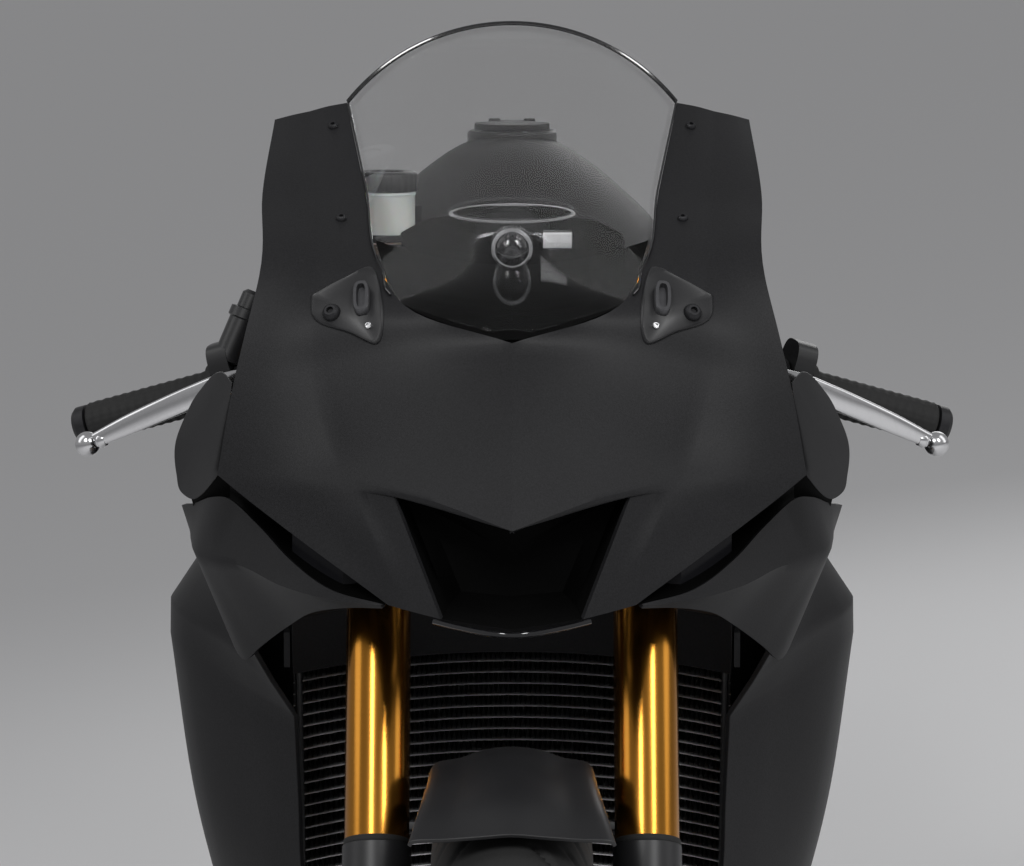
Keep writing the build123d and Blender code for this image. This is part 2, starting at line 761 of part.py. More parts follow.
can_run = (can_end - can_start).normalized()
with BuildPart() as muffler:
    for share, width, height in ((0, 62, 62), (0.3, 84, 96), (1, 74, 88)):
        with BuildSketch(
            Plane(origin=can_start + (can_end - can_start) * share, x_dir=(1, 0, 0), z_dir=can_run)
        ):
            RectangleRounded(width, height, 24)
    loft(ruled=True)
    with BuildSketch(Plane(origin=can_start, z_dir=can_start - pipe_turn)):
        Circle(pipe_radius + seat_clearance)
    extrude(amount=seat_clearance, both=True, mode=Mode.SUBTRACT)
    with BuildSketch(Plane(origin=can_start, z_dir=pipe_turn - can_start)):
        Circle(pipe_radius + seat_clearance)
    extrude(amount=60, mode=Mode.SUBTRACT)
keep("muffler", muffler.part)

# Radiator: a curved core leaning with the fork, its sides swept forward round the wheel
radiator_top = Vector(0, -405, 690)
radiator_bottom = Vector(0, -341, 438)
radiator_sweep = 44.0
radiator_depth = 26.0
tube_count = 26
tube_height = 2.4
radiator_run = (radiator_bottom - radiator_top).normalized()
radiator_height = (radiator_bottom - radiator_top).length


def radiator_band(start, front, back):
    """Section of the curved core between two depths from its middle's front face."""
    with BuildSketch(
        Plane(origin=radiator_top + radiator_run * start, x_dir=(1, 0, 0), z_dir=radiator_run)
    ) as section:
        with BuildLine():
            ThreePointArc((-radiator_half, radiator_sweep + front), (0, front), (radiator_half, radiator_sweep + front))
            Line((radiator_half, radiator_sweep + front), (radiator_half, radiator_sweep + back))
            ThreePointArc((radiator_half, radiator_sweep + back), (0, back), (-radiator_half, radiator_sweep + back))
            Line((-radiator_half, radiator_sweep + back), (-radiator_half, radiator_sweep + front))
        make_face()
    return section.sketch


with BuildPart() as radiator:
    extrude(radiator_band(0, -3, -radiator_depth), amount=radiator_height)
    for k in range(tube_count):
        extrude(radiator_band((k + 0.5) * radiator_height / tube_count - tube_height / 2, 0, -4), amount=tube_height)
keep("radiator", radiator.part)

# Fairing stay: from the head tube to the keel that carries dash, lamps, duct and nose
stay_half = 20.0
stay_front = -600.0
dash_floor = 950.0
with BuildPart() as fairing_stay:
    with BuildSketch(side_plane(-stay_half)):
        with BuildLine():
            Polyline(
                (-410, 812),
                (-570, 812),
                (-570, 700),
                (stay_front, 700),
                (stay_front, 850),
                (-536, 850),
                (-500, dash_floor),
                (-472, dash_floor),
                (-504, 850),
                (-410, 850),
                close=True,
            )
        make_face()
    extrude(amount=2 * stay_half)
    with BuildSketch(steer_plane(head_bottom)):
        Circle(head_tube_radius + seat_clearance)
    extrude(amount=head_top - head_bottom, mode=Mode.SUBTRACT)
keep("fairing_stay", fairing_stay.part)

# Nose cowl: planar rows from the lip to the ears beside the screen.
# Columns: inner edge x, y, z; crease x and share of the way; outer edge x, y, z
cowl_rows = [
    (0, -700, 712, 62, 0.55, 92.7, -645, 723),
    (0, -706, 783, 105, 0.60, 160, -600, 763),
    (0, -655, 845, 128, 0.62, 225, -560, 810),
    (0, -590, 914, 150, 0.68, 213, -550, 878),
    (81, -562, 939.5, 150, 0.50, 204.5, -541, 915),
    (101, -522, 963.5, 150, 0.50, 194.4, -519, 958),
    (115.6, -428, 1018.4, 157, 0.50, 196.4, -426, 1015.2),
    (133, -332, 1082, 163, 0.50, 191.5, -323, 1068),
]
cowl_wall = 6.0
intake_outline = [(89, 804), (0, 787), (-89, 804), (-53, 718), (0, 715), (53, 718)]
cowl_tab = ((stay_half + seat_clearance, 165), (-592, -578), (790, 798))
with BuildPart() as nose_cowl:
    for x, y, z, crease_x, share, edge_x, edge_y, edge_z in cowl_rows:
        run = Vector(0, edge_y - y, edge_z - z)
        plane = Plane(origin=(0, y, z), x_dir=(1, 0, 0), z_dir=Vector(1, 0, 0).cross(run))
        outer = [(x, 0), (crease_x, share * run.length), (edge_x, run.length)]
        with BuildSketch(plane):
            with BuildLine():
                Polyline(*outer, *[(px, pw + cowl_wall) for px, pw in reversed(outer)], close=True)
            make_face()
    loft(ruled=True)
    (x0, x1), (y0, y1), (z0, z1) = cowl_tab
    with Locations(((x0 + x1) / 2, (y0 + y1) / 2, (z0 + z1) / 2)):
        Box(x1 - x0, y1 - y0, z1 - z0)
    mirror(about=Plane.YZ)
    with BuildSketch(station(stay_front - 2)):
        with BuildLine():
            Polyline(*intake_outline, close=True)
        make_face()
    extrude(amount=140, mode=Mode.SUBTRACT)
keep("nose_cowl", nose_cowl.part)

# Intake duct: a funnel behind the nose opening, ending on the stay
duct_front = -626.0
duct_share = 0.7
duct_wall = 4.0


def duct_section(y, share, wall):
    """The opening's outline shrunk about its middle, then by the wall."""
    middle = 760.0
    fit = share - wall / 53
    with BuildSketch(station(y)) as section:
        with BuildLine():
            Polyline(*[(x * fit, middle + (z - middle) * fit) for x, z in intake_outline], close=True)
        make_face()
    return section.sketch


with BuildPart() as intake_duct:
    loft([duct_section(duct_front, 0.98, 0), duct_section(stay_front - seat_clearance, duct_share, 0)], ruled=True)
    loft(
        [duct_section(duct_front - 1, 0.98, duct_wall), duct_section(stay_front - 6, duct_share, duct_wall)],
        ruled=True,
        mode=Mode.SUBTRACT,
    )
keep("intake_duct", intake_duct.part)

# Head lamps in the slots between the cowl and the fairing arms, on tabs to the stay
lamp_tab = ((stay_half + seat_clearance, 112), (-598, -586), (736, 744))
with BuildPart() as head_lamp:
    for y, x0, x1, z0, z1 in ((-600, 100, 128, 727, 748), (-560, 118, 168, 740, 782)):
        with BuildSketch(station(y)):
            with Locations(((x0 + x1) / 2, (z0 + z1) / 2)):
                RectangleRounded(x1 - x0, z1 - z0, 6)
    loft()
    (x0, x1), (y0, y1), (z0, z1) = lamp_tab
    with Locations(((x0 + x1) / 2, (y0 + y1) / 2, (z0 + z1) / 2)):
        Box(x1 - x0, y1 - y0, z1 - z0)
keep("head_lamps", pair(head_lamp.part))

# Windscreen: arched stations that follow the cowl's inner edges, from its toe to the trailing edge
# Columns: y, gap to the cowl's edge, crown z
screen_wall = 3.0
screen_crowns = [(-582, 8, 925), (-562, 4, 947), (-522, 1.3, 987), (-428, 1.0, 1074), (-332, 0.8, 1146)]
screen_edges = [(x, y, z) for x, y, z, *rest in cowl_rows[3:]]


def screen_edge(y):
    """Half width and height of the screen's edge where it runs beside the cowl."""
    for (xa, ya, za), (xb, yb, zb) in zip(screen_edges, screen_edges[1:]):
        if ya <= y <= yb:
            share = (y - ya) / (yb - ya)
            return xa + (xb - xa) * share, za + (zb - za) * share + 1


with BuildPart() as windscreen:
    for y, gap, crown_z in screen_crowns:
        half, edge_z = screen_edge(y)
        half = half - gap
        with BuildSketch(station(y)):
            with BuildLine():
                ThreePointArc((-half, edge_z), (0, crown_z), (half, edge_z))
                Line((half, edge_z), (half, edge_z - screen_wall))
                ThreePointArc((half, edge_z - screen_wall), (0, crown_z - screen_wall), (-half, edge_z - screen_wall))
                Line((-half, edge_z - screen_wall), (-half, edge_z))
            make_face()
    loft(ruled=True)
keep("windscreen", windscreen.part)

# Shoulder panels behind the cowl's outer edges
shoulder_face = -551.0
shoulder_outline = [
    (213.6, 880), (221, 888), (240, 872), (250, 854), (258, 831), (257, 809), (254, 796), (246, 790), (226.5, 806)
]
with BuildPart() as shoulder:
    with BuildSketch(station(shoulder_face)):
        with BuildLine():
            Polyline(*shoulder_outline, close=True)
        make_face()
    extrude(amount=-3)
keep("shoulders", pair(shoulder.part))

# Side fairings, left hand: the arm under the lamps and the main panel below it.
# Columns: y, then x and z from the top edge to the lower edge
arm_stations = [
    (-640, (97, 723), (98.5, 721.5), (97, 719.5)),
    (-610, (137, 729), (139, 722), (124, 715)),
    (-575, (169, 746.5), (177, 727), (152, 706)),
    (-540, (195, 768), (207, 736), (171, 690.5)),
    (-500, (223, 784.5), (237, 736), (197, 666)),
    (-480, (234, 782), (247, 737), (209.5, 653)),
    (-440, (250, 772), (254, 742), (232, 690)),
    (-400, (264, 764.5), (257, 742), (243, 712)),
]
panel_stations = [
    (-465, (211, 668), (190, 632), (172, 605), (169, 535), (167, 479), (150, 395)),
    (-430, (229, 697), (228, 660), (212, 620), (204, 540), (198, 470), (172, 372)),
    (-370, (246, 715), (269, 675), (268, 645), (250, 525), (236, 460), (203, 352)),
    (-200, (246, 700), (266, 665), (266, 635), (256, 535), (241, 450), (214, 352)),
    (-70, (222, 650), (240, 620), (240, 590), (236, 515), (228, 440), (205, 345)),
]
# Columns: x, y and z ranges of the tabs that hold each panel
arm_tabs = [((stay_half + seat_clearance, 143), (-598, -587), (712, 718))]
panel_tabs = [
    ((crankcase_half, 252), (-215, -195), (535, 547)),
    ((crankcase_half, 234), (-215, -195), (424, 436)),
]


def fairing(stations, tabs):
    """Thin panel lofted through its stations, with the tabs inside it."""
    sections = []
    for y, *points in stations:
        sections.append(strip(station(y), points, [(x - skin, z) for x, z in points]))
    with BuildPart() as panel:
        loft(sections, ruled=True)
        for (x0, x1), (y0, y1), (z0, z1) in tabs:
            with Locations(((x0 + x1) / 2, (y0 + y1) / 2, (z0 + z1) / 2)):
                Box(x1 - x0, y1 - y0, z1 - z0)
    return panel.part


keep("fairing_arms", pair(fairing(arm_stations, arm_tabs)))
keep("side_panels", pair(fairing(panel_stations, panel_tabs)))

# Belly pan: a trough under the engine
# Columns: y, half width and z at the top edge, half width and z of the floor
belly_stations = [
    (-330, 150, 345, 60, 200),
    (-200, 206, 346, 80, 150),
    (-40, 200, 338, 82, 145),
    (56, 176, 306, 76, 160),
]
belly_sections = []
for y, half_top, z_top, half_floor, z_floor in belly_stations:
    trough = [(-half_top, z_top), (-half_floor, z_floor), (half_floor, z_floor), (half_top, z_top)]
    belly_sections.append(strip(station(y), trough, inset(trough, skin)))
with BuildPart() as belly_pan:
    loft(belly_sections, ruled=True)
    for side in (-1, 1):
        for x, y, z in ((106, -172, 201), (106, -60, 198)):
            with Locations((side * x, y, (z + crankcase_floor) / 2)):
                Box(12, 16, crankcase_floor - z)
keep("belly_pan", belly_pan.part)

# Fuel tank: arched stations from the yoke to the seat, with a flat filler boss
# Columns: y, half width low, half width at the shoulder, shoulder z, crown z
tank_stations = [
    (-318, 30, 56, 925, 962),
    (-240, 66, 112, 925, 1020),
    (-150, 92, 140, 925, 1046),
    (-30, 92, 140, 912, 1025),
    (60, 80, 104, 880, 950),
    (120, 66, 80, 840, 880),
]
filler_at = (0.0, -120.0)
filler_face = 1048.0
filler_radius = 38.0
neck_radius = 22.0
neck_depth = 40.0
cap_radius = 32.0
cap_gap = 0.5
cap_height = 6.0
cap_pin_radius = 3.0
cap_open = 110.0
cap_axis_at = Vector(filler_at[0], filler_at[1] + filler_radius + 6, filler_face + cap_height / 2)
tank_wall = 4.0


def tank_section(y, half_low, half, z_low, z_shoulder, z_top):
    """Flat floor, straight flanks and an arched top."""
    with BuildSketch(station(y)) as section:
        with BuildLine():
            Polyline((half, z_shoulder), (half_low, z_low), (-half_low, z_low), (-half, z_shoulder))
            ThreePointArc((-half, z_shoulder), (0, z_top), (half, z_shoulder))
        make_face()
    return section.sketch


tank_outside = [tank_section(y, low, half, tank_floor, z, top) for y, low, half, z, top in tank_stations]
tank_inside = [
    tank_section(
        y + tank_wall * (y == tank_stations[0][0]) - tank_wall * (y == tank_stations[-1][0]),
        low - tank_wall,
        half - tank_wall,
        tank_floor + tank_wall,
        z,
        top - tank_wall,
    )
    for y, low, half, z, top in tank_stations
]
with BuildPart() as fuel_tank:
    loft(tank_outside)
    with BuildSketch(Plane.XY.offset(filler_face - 40)):
        with Locations(filler_at):
            Circle(filler_radius)
    extrude(amount=40)
    for side in (-1, 1):
        with Locations((side * 15, cap_axis_at.Y - 1, filler_face - 2)):
            Box(10, 14, 24)
    loft(tank_inside, mode=Mode.SUBTRACT)
    with BuildSketch(side_plane(-30)):
        with Locations((cap_axis_at.Y, cap_axis_at.Z)):
            Circle(cap_pin_radius + running_clearance)
    extrude(amount=60, mode=Mode.SUBTRACT)
    with BuildSketch(Plane.XY.offset(filler_face)):
        with Locations(filler_at):
            Circle(neck_radius)
    extrude(amount=-neck_depth, mode=Mode.SUBTRACT)
keep("fuel_tank", fuel_tank.part)

with BuildPart() as fuel_cap:
    with BuildSketch(Plane.XY.offset(filler_face + cap_gap)):
        with Locations(filler_at):
            Circle(cap_radius)
        with Locations((cap_axis_at.X, (cap_axis_at.Y + filler_at[1]) / 2 + 2)):
            Rectangle(16, cap_axis_at.Y - filler_at[1] + 8)
    extrude(amount=cap_height - cap_gap)
    with BuildSketch(side_plane(-19)):
        with Locations((cap_axis_at.Y, cap_axis_at.Z)):
            Circle(cap_pin_radius)
    extrude(amount=38)
keep("fuel_cap", fuel_cap.part)

# Seat and tail
# Columns: y, half width, z low, z high
seat_stations = [(120 + seat_clearance, 66, 806, 850), (240, 118, 812, 852), (404 - seat_clearance, 128, 826, 868)]
tail_stations = [(404, 128, 800, 876), (600, 112, 850, 930), (850, 76, 900, 985), (1045, 24, 955, 985)]


def body_of(stations):
    """Rounded box sections lofted along the bike."""
    with BuildPart() as body:
        for y, half, low, high in stations:
            with BuildSketch(station(y)):
                with Locations((0, (low + high) / 2)):
                    RectangleRounded(2 * half, high - low, min(half, (high - low) / 2) * 0.6)
        loft(ruled=True)
    return body.part


keep("rider_seat", body_of(seat_stations))
keep("tail_cowl", body_of(tail_stations))
keep("tail_light", body_of([(1045 + seat_clearance, 23, 957, 983), (1052, 18, 962, 978)]))

# Dash: a funnel-shaped cluster behind the screen with its round dial
dash_half = 84.0
dash_top = 1003.0
# Columns: x, then y and z round the section
dash_sections = [
    (-dash_half, (-494, 973), (-480, 988), (-472, 990), (-470, 973)),
    (0, (-504, dash_floor), (-492, dash_top), (-472, dash_top), (-470, dash_floor)),
    (dash_half, (-494, 973), (-480, 988), (-472, 990), (-470, 973)),
]
with BuildPart() as dash:
    for x, *points in dash_sections:
        with BuildSketch(side_plane(x)):
            with BuildLine():
                Polyline(*points, close=True)
            make_face()
    loft(ruled=True)
keep("dash", dash.part)

# Foot rests: a plate on the frame's boss and a peg
with BuildPart() as foot_rest:
    with BuildSketch(side_plane(peg_boss_face + seat_clearance)):
        with BuildLine():
            Polyline((122, 470), (150, 470), (236, 372), (236, 346), (206, 346), (122, 392), close=True)
        make_face()
    extrude(amount=8)
    with BuildSketch(side_plane(peg_boss_face + 8)):
        with Locations((220, 360)):
            Circle(11)
    extrude(amount=78)
keep("foot_rests", pair(foot_rest.part))

# Side stand: an eye on the frame's pin, a leg and a foot plate on the leaned ground
with BuildPart() as side_stand:
    with BuildSketch(Plane(origin=stand_pivot_at - stand_axis * stand_eye_half, z_dir=stand_axis)):
        Circle(stand_eye_radius)
    extrude(amount=2 * stand_eye_half)
    with BuildSketch(Plane(origin=stand_pivot_at, z_dir=stand_run)):
        Circle(stand_leg_radius)
    extrude(amount=stand_run.length)
    with BuildSketch(Plane(origin=foot_at, x_dir=(0, 1, 0), z_dir=ground_up)):
        SlotOverall(76, 44)
    extrude(amount=foot_thickness)
    with BuildSketch(Plane(origin=stand_pivot_at - stand_axis * 30, z_dir=stand_axis)):
        Circle(stand_pin_radius + running_clearance)
    extrude(amount=60, mode=Mode.SUBTRACT)
keep("side_stand", side_stand.part)

# Lean every piece onto the stand and centre the whole on the floor
leaned = Location((0, 0, 0), (0, lean, 0))
standing = {name: part.moved(leaned) for name, part in nodes.items()}
boxes = [part.bounding_box() for part in standing.values()]
low = Vector(*(min(getattr(b.min, axis) for b in boxes) for axis in "XYZ"))
high = Vector(*(max(getattr(b.max, axis) for b in boxes) for axis in "XYZ"))
to_floor = Location((-(low.X + high.X) / 2, -(low.Y + high.Y) / 2, -low.Z))

os.makedirs("parts", exist_ok=True)
for name, part in standing.items():
    placed = part.moved(to_floor)
    placed.label = name
    export_step(placed, f"parts/{name}.step")
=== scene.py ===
"""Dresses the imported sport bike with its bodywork, finishes, padding and studio."""

import json
from math import atan2, cos, radians, sin

import bpy
import numpy as np
from bpy.props import FloatProperty, FloatVectorProperty, IntProperty, PointerProperty
from mathutils import Matrix


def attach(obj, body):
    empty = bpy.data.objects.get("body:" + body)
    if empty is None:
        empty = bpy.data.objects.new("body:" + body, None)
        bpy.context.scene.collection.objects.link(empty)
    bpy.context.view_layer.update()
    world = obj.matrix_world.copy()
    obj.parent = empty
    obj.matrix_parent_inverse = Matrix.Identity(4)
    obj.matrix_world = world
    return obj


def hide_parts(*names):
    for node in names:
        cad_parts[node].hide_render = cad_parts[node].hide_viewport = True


bl_info = {
    "name": "Sport bike dresser",
    "version": (1, 0, 0),
    "blender": (4, 5, 0),
    "location": "3D View > Sidebar > Sport bike",
    "description": "Builds the bodywork, finishes and studio of a sport bike round its solid frame",
    "category": "Object",
}

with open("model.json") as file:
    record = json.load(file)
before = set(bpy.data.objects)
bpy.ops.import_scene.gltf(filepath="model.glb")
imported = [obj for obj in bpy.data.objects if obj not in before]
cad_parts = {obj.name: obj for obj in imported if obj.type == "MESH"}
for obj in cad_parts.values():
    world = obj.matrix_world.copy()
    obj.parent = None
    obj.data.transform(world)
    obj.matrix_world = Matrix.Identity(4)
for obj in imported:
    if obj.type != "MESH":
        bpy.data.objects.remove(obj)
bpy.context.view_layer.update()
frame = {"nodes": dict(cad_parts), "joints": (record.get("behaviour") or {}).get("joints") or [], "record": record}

# The bike's own frame, in millimetres: +X its left, -Y forward, wheels upright on Z = 0.
# Its place in the shared frame comes from the two axles.
MM = 1000.0
hinges = {joint["name"]: joint for joint in frame["joints"]}
front_hub = np.array(hinges["front_wheel_spin"]["pos_m"]) * MM
rear_hub = np.array(hinges["rear_wheel_spin"]["pos_m"]) * MM
axle_line = hinges["front_wheel_spin"]["axis"]
lean = atan2(-axle_line[2], axle_line[0])
front_axle_height = front_hub[2] / cos(lean)
rear_axle_height = rear_hub[2] / cos(lean)
wheelbase = rear_hub[1] - front_hub[1]
LEANING = np.array([[cos(lean), 0, sin(lean)], [0, 1, 0], [-sin(lean), 0, cos(lean)]])
SHIFT = np.array([front_hub[0] - front_axle_height * sin(lean), (front_hub[1] + rear_hub[1]) / 2, 0])
front_axle = np.array([0, -wheelbase / 2, front_axle_height])
rear_axle = np.array([0, wheelbase / 2, rear_axle_height])


def to_world(points):
    """Points of the bike's own frame in millimetres, leaned onto the stand, in metres of the shared frame."""
    return (np.asarray(points, float) @ LEANING.T + SHIFT) / MM


def unit(vectors):
    """Vectors over their lengths."""
    vectors = np.asarray(vectors, float)
    return vectors / np.linalg.norm(vectors, axis=-1, keepdims=True)


# Parts are (points, quads, polygons) in the bike's own frame
def through(knots, values, at, corners=None):
    """Cubic Hermite pieces through values at their knots, read at the places in at.
    The slope at a knot is the chord slopes' mean, weighted by the other step; at a corner
    it is each side's own chord. Corners is a mask of the values' first axes."""
    knots = np.asarray(knots, float)
    values = np.asarray(values, float)
    step = np.diff(knots).reshape(-1, *[1] * (values.ndim - 1))
    chord = np.diff(values, axis=0) / step
    leave, arrive = chord.copy(), chord.copy()
    if len(knots) > 2:
        mean = (chord[:-1] * step[1:] + chord[1:] * step[:-1]) / (step[1:] + step[:-1])
        if corners is None:
            keep = np.zeros(mean.shape[:1] + (1,) * (values.ndim - 1), bool)
        else:
            keep = np.asarray(corners, bool)[1:-1]
            keep = keep.reshape(keep.shape + (1,) * (values.ndim - keep.ndim))
        leave[1:] = np.where(keep, chord[1:], mean)
        arrive[:-1] = np.where(keep, chord[:-1], mean)
    k = np.clip(np.searchsorted(knots, at, "right") - 1, 0, len(knots) - 2)
    f = ((at - knots[k]) / np.diff(knots)[k]).reshape(-1, *[1] * (values.ndim - 1))
    h = step[k]
    return (
        values[k] * (2 * f**3 - 3 * f**2 + 1)
        + leave[k] * h * (f**3 - 2 * f**2 + f)
        + values[k + 1] * (3 * f**2 - 2 * f**3)
        + arrive[k] * h * (f**3 - f**2)
    )


def between(knots, steps):
    """The knots with each gap cut into that many equal steps."""
    knots = np.asarray(knots, float)
    return np.append(
        (knots[:-1, None] + np.diff(knots)[:, None] * np.arange(steps) / steps).ravel(), knots[-1]
    )


def chords(points):
    """Knots at the lengths of the chords between points."""
    return np.append(0, np.cumsum(np.maximum(np.linalg.norm(np.diff(points, axis=0), axis=1), 1e-3)))


def sheet(net, row_steps, column_steps, row_corners=None, column_corners=None):
    """Surface S(v, u) through a net of points: a Hermite curve down each column on its own chords,
    then across them on their mean chords. Row corners is a mask of the net, column corners one of
    its columns."""
    net = np.asarray(net, float)
    masks = np.zeros(net.shape[:2], bool) if row_corners is None else np.asarray(row_corners)
    lines = []
    for column, mask in zip(net.transpose(1, 0, 2), masks.T):
        knots = chords(column)
        lines.append(through(knots, column, between(knots, row_steps), mask))
    lines = np.array(lines)
    steps = np.linalg.norm(np.diff(lines, axis=0), axis=2).mean(1)
    knots = np.append(0, np.cumsum(np.maximum(steps, 1e-3)))
    return through(knots, lines, between(knots, column_steps), column_corners).transpose(1, 0, 2)


def grid_part(grid, inside=None, wrap=False, cap=False):
    """Part of a rows by columns grid of points, its faces turned away from a point inside.
    Wrap joins the last column to the first, and cap closes the end rows."""
    rows, columns = grid.shape[:2]
    index = np.arange(rows * columns).reshape(rows, columns)
    ends = [index[0].tolist(), index[-1].tolist()] if cap else []
    if wrap:
        index = np.hstack([index, index[:, :1]])
    quads = np.stack([index[:-1, :-1], index[:-1, 1:], index[1:, 1:], index[1:, :-1]], -1).reshape(-1, 4)
    points = grid.reshape(-1, 3)
    if ends:
        ends[0].reverse()
    if inside is not None:
        a, b, c, d = (points[quads[:, k]] for k in range(4))
        middle = (a + b + c + d) / 4
        facing = np.einsum("ij,ij->i", np.cross(c - a, d - b), middle - np.asarray(inside, float))
        if facing.sum() < 0:
            quads = quads[:, ::-1]
            ends = [end[::-1] for end in ends]
    return points, quads, ends


def joined(*parts):
    """Several parts as one."""
    starts = np.cumsum([0] + [len(part[0]) for part in parts[:-1]])
    polygons = [[i + int(start) for i in end] for part, start in zip(parts, starts) for end in part[2]]
    return (
        np.concatenate([part[0] for part in parts]),
        np.concatenate([part[1] + start for part, start in zip(parts, starts)]),
        polygons,
    )


def mirrored(part):
    """The part on the bike's other side."""
    points, quads, polygons = part
    return points * (-1, 1, 1), quads[:, ::-1], [end[::-1] for end in polygons]


def both_sides(part):
    """A left-hand part with its mirror image."""
    return joined(part, mirrored(part))


def copies(part, frames):
    """The part carried to each frame (origin, x axis, y axis, z axis): o + x X + y Y + z Z."""
    points, quads, polygons = part
    frames = np.asarray(frames, float)
    placed = frames[:, None, 0] + np.einsum("ni,kij->knj", points, frames[:, 1:])
    starts = np.arange(len(frames)) * len(points)
    return (
        placed.reshape(-1, 3),
        (quads[None] + starts[:, None, None]).reshape(-1, quads.shape[1]),
        [[i + int(start) for i in end] for start in starts for end in polygons],
    )


def upright(axis):
    """Two unit vectors across an axis, making a right-handed set with it."""
    axis = unit(axis)
    spare = np.array([0.0, 0.0, 1.0]) if abs(axis[2]) < 0.9 else np.array([0.0, 1.0, 0.0])
    first = unit(np.cross(spare, axis))
    return first, np.cross(axis, first), axis


def lathe(profile, origin, axis, sides=32, cap=True):
    """Profile (along, radius) turned about an axis: origin + along axis + radius (cos, sin)."""
    first, second, axis = upright(axis)
    profile = np.asarray(profile, float)
    turn = np.linspace(0, 2 * np.pi, sides, endpoint=False)
    ring = np.cos(turn)[:, None] * first + np.sin(turn)[:, None] * second
    grid = np.asarray(origin, float) + profile[:, :1, None] * axis + profile[:, 1:, None] * ring
    return grid_part(grid, wrap=True, cap=cap)


def smooth_path(points, steps):
    """Hermite curve through the points, its knots at their chord lengths."""
    points = np.asarray(points, float)
    knots = chords(points)
    return through(knots, points, between(knots, steps))


def sweep(path, profile, across, scale=1.0, wrap=True, cap=True):
    """Profile (side, up) carried along a path: point + side s + up n, with s square to the path and
    to the reference direction across."""
    path = np.asarray(path, float)
    run = unit(np.gradient(path, axis=0))
    up = unit(np.cross(np.broadcast_to(np.asarray(across, float), run.shape), run))
    side = np.cross(up, run)
    profile = np.asarray(profile, float) * np.reshape(scale, (-1, 1, 1))
    grid = path[:, None] + profile[..., :1] * side[:, None] + profile[..., 1:] * up[:, None]
    return grid_part(grid, wrap=wrap, cap=cap)


def ellipse(width, height, sides=16, power=2.0):
    """Closed outline |x / a|^p + |y / b|^p = 1, a round box for a larger power."""
    turn = np.linspace(0, 2 * np.pi, sides, endpoint=False)
    c, s = np.cos(turn), np.sin(turn)
    return np.stack(
        [
            np.sign(c) * np.abs(c) ** (2 / power) * width / 2,
            np.sign(s) * np.abs(s) ** (2 / power) * height / 2,
        ], 1
    )


def tube(points, radius, across=(1, 0, 0), steps=8, sides=12):
    """Round tube along a smooth path."""
    path = smooth_path(points, steps)
    return sweep(path, ellipse(2 * radius, 2 * radius, sides), across)


def screw_part(radius, height):
    """Domed screw head on its seat, with a round socket, standing up Z."""
    profile = [
        (-0.4 * height, radius),
        (0.25 * height, radius),
        (0.7 * height, 0.86 * radius),
        (height, 0.62 * radius),
        (height, 0.4 * radius),
        (0.35 * height, 0.36 * radius),
        (0.35 * height, 0.02 * radius),
    ]
    return lathe(profile, (0, 0, 0), (0, 0, 1), 18)


def facing_frames(places, directions):
    """Frames for copies(), their Z along the directions."""
    return np.array([[place, *upright(direction)] for place, direction in zip(places, directions)])


# Shared shader effects
def new_group(name, inputs, outputs):
    """Empty node group with named sockets: (type, name, default)."""
    group = bpy.data.node_groups.new(name, "ShaderNodeTree")
    for kind, label, default in inputs:
        group.interface.new_socket(label, in_out="INPUT", socket_type=kind).default_value = default
    for kind, label in outputs:
        group.interface.new_socket(label, in_out="OUTPUT", socket_type=kind)
    return group, group.nodes.new("NodeGroupInput"), group.nodes.new("NodeGroupOutput")


def math_node(tree, operation, first, second):
    """Math node on two sockets or numbers."""
    node = tree.nodes.new("ShaderNodeMath")
    node.operation = operation
    for socket, value in zip(node.inputs, (first, second)):
        if isinstance(value, (int, float)):
            socket.default_value = value
        else:
            tree.links.new(value, socket)
    return node.outputs[0]


FINISH_INPUTS = [
    ("NodeSocketColor", "Colour", (0.5, 0.5, 0.5, 1)),
    ("NodeSocketFloat", "Roughness", 0.5),
    ("NodeSocketFloat", "Scale", 400.0),
    ("NodeSocketFloat", "Contrast", 0.2),
    ("NodeSocketFloat", "Spread", 0.06),
    ("NodeSocketVector", "Stretch", (1, 1, 1)),
]
FINISH_OUTPUTS = [
    ("NodeSocketColor", "Colour"), ("NodeSocketFloat", "Roughness"), ("NodeSocketFloat", "Height")
]


# Detail of the fine texture, then scale and detail of the broad handling marks
FINE_DETAIL, BROAD_SCALE, BROAD_DETAIL = 3.0, 7.0, 5.0
BUMP_STRENGTH = 0.6
# Clear sheet: colour, most roughness, scale of its wiping marks, index of refraction and opacity
CLEAR_COLOUR, CLEAR_ROUGHNESS, CLEAR_MARKS = (0.93, 0.95, 0.96), 0.03, 18.0
CLEAR_INDEX, CLEAR_ALPHA = 1.49, 0.16


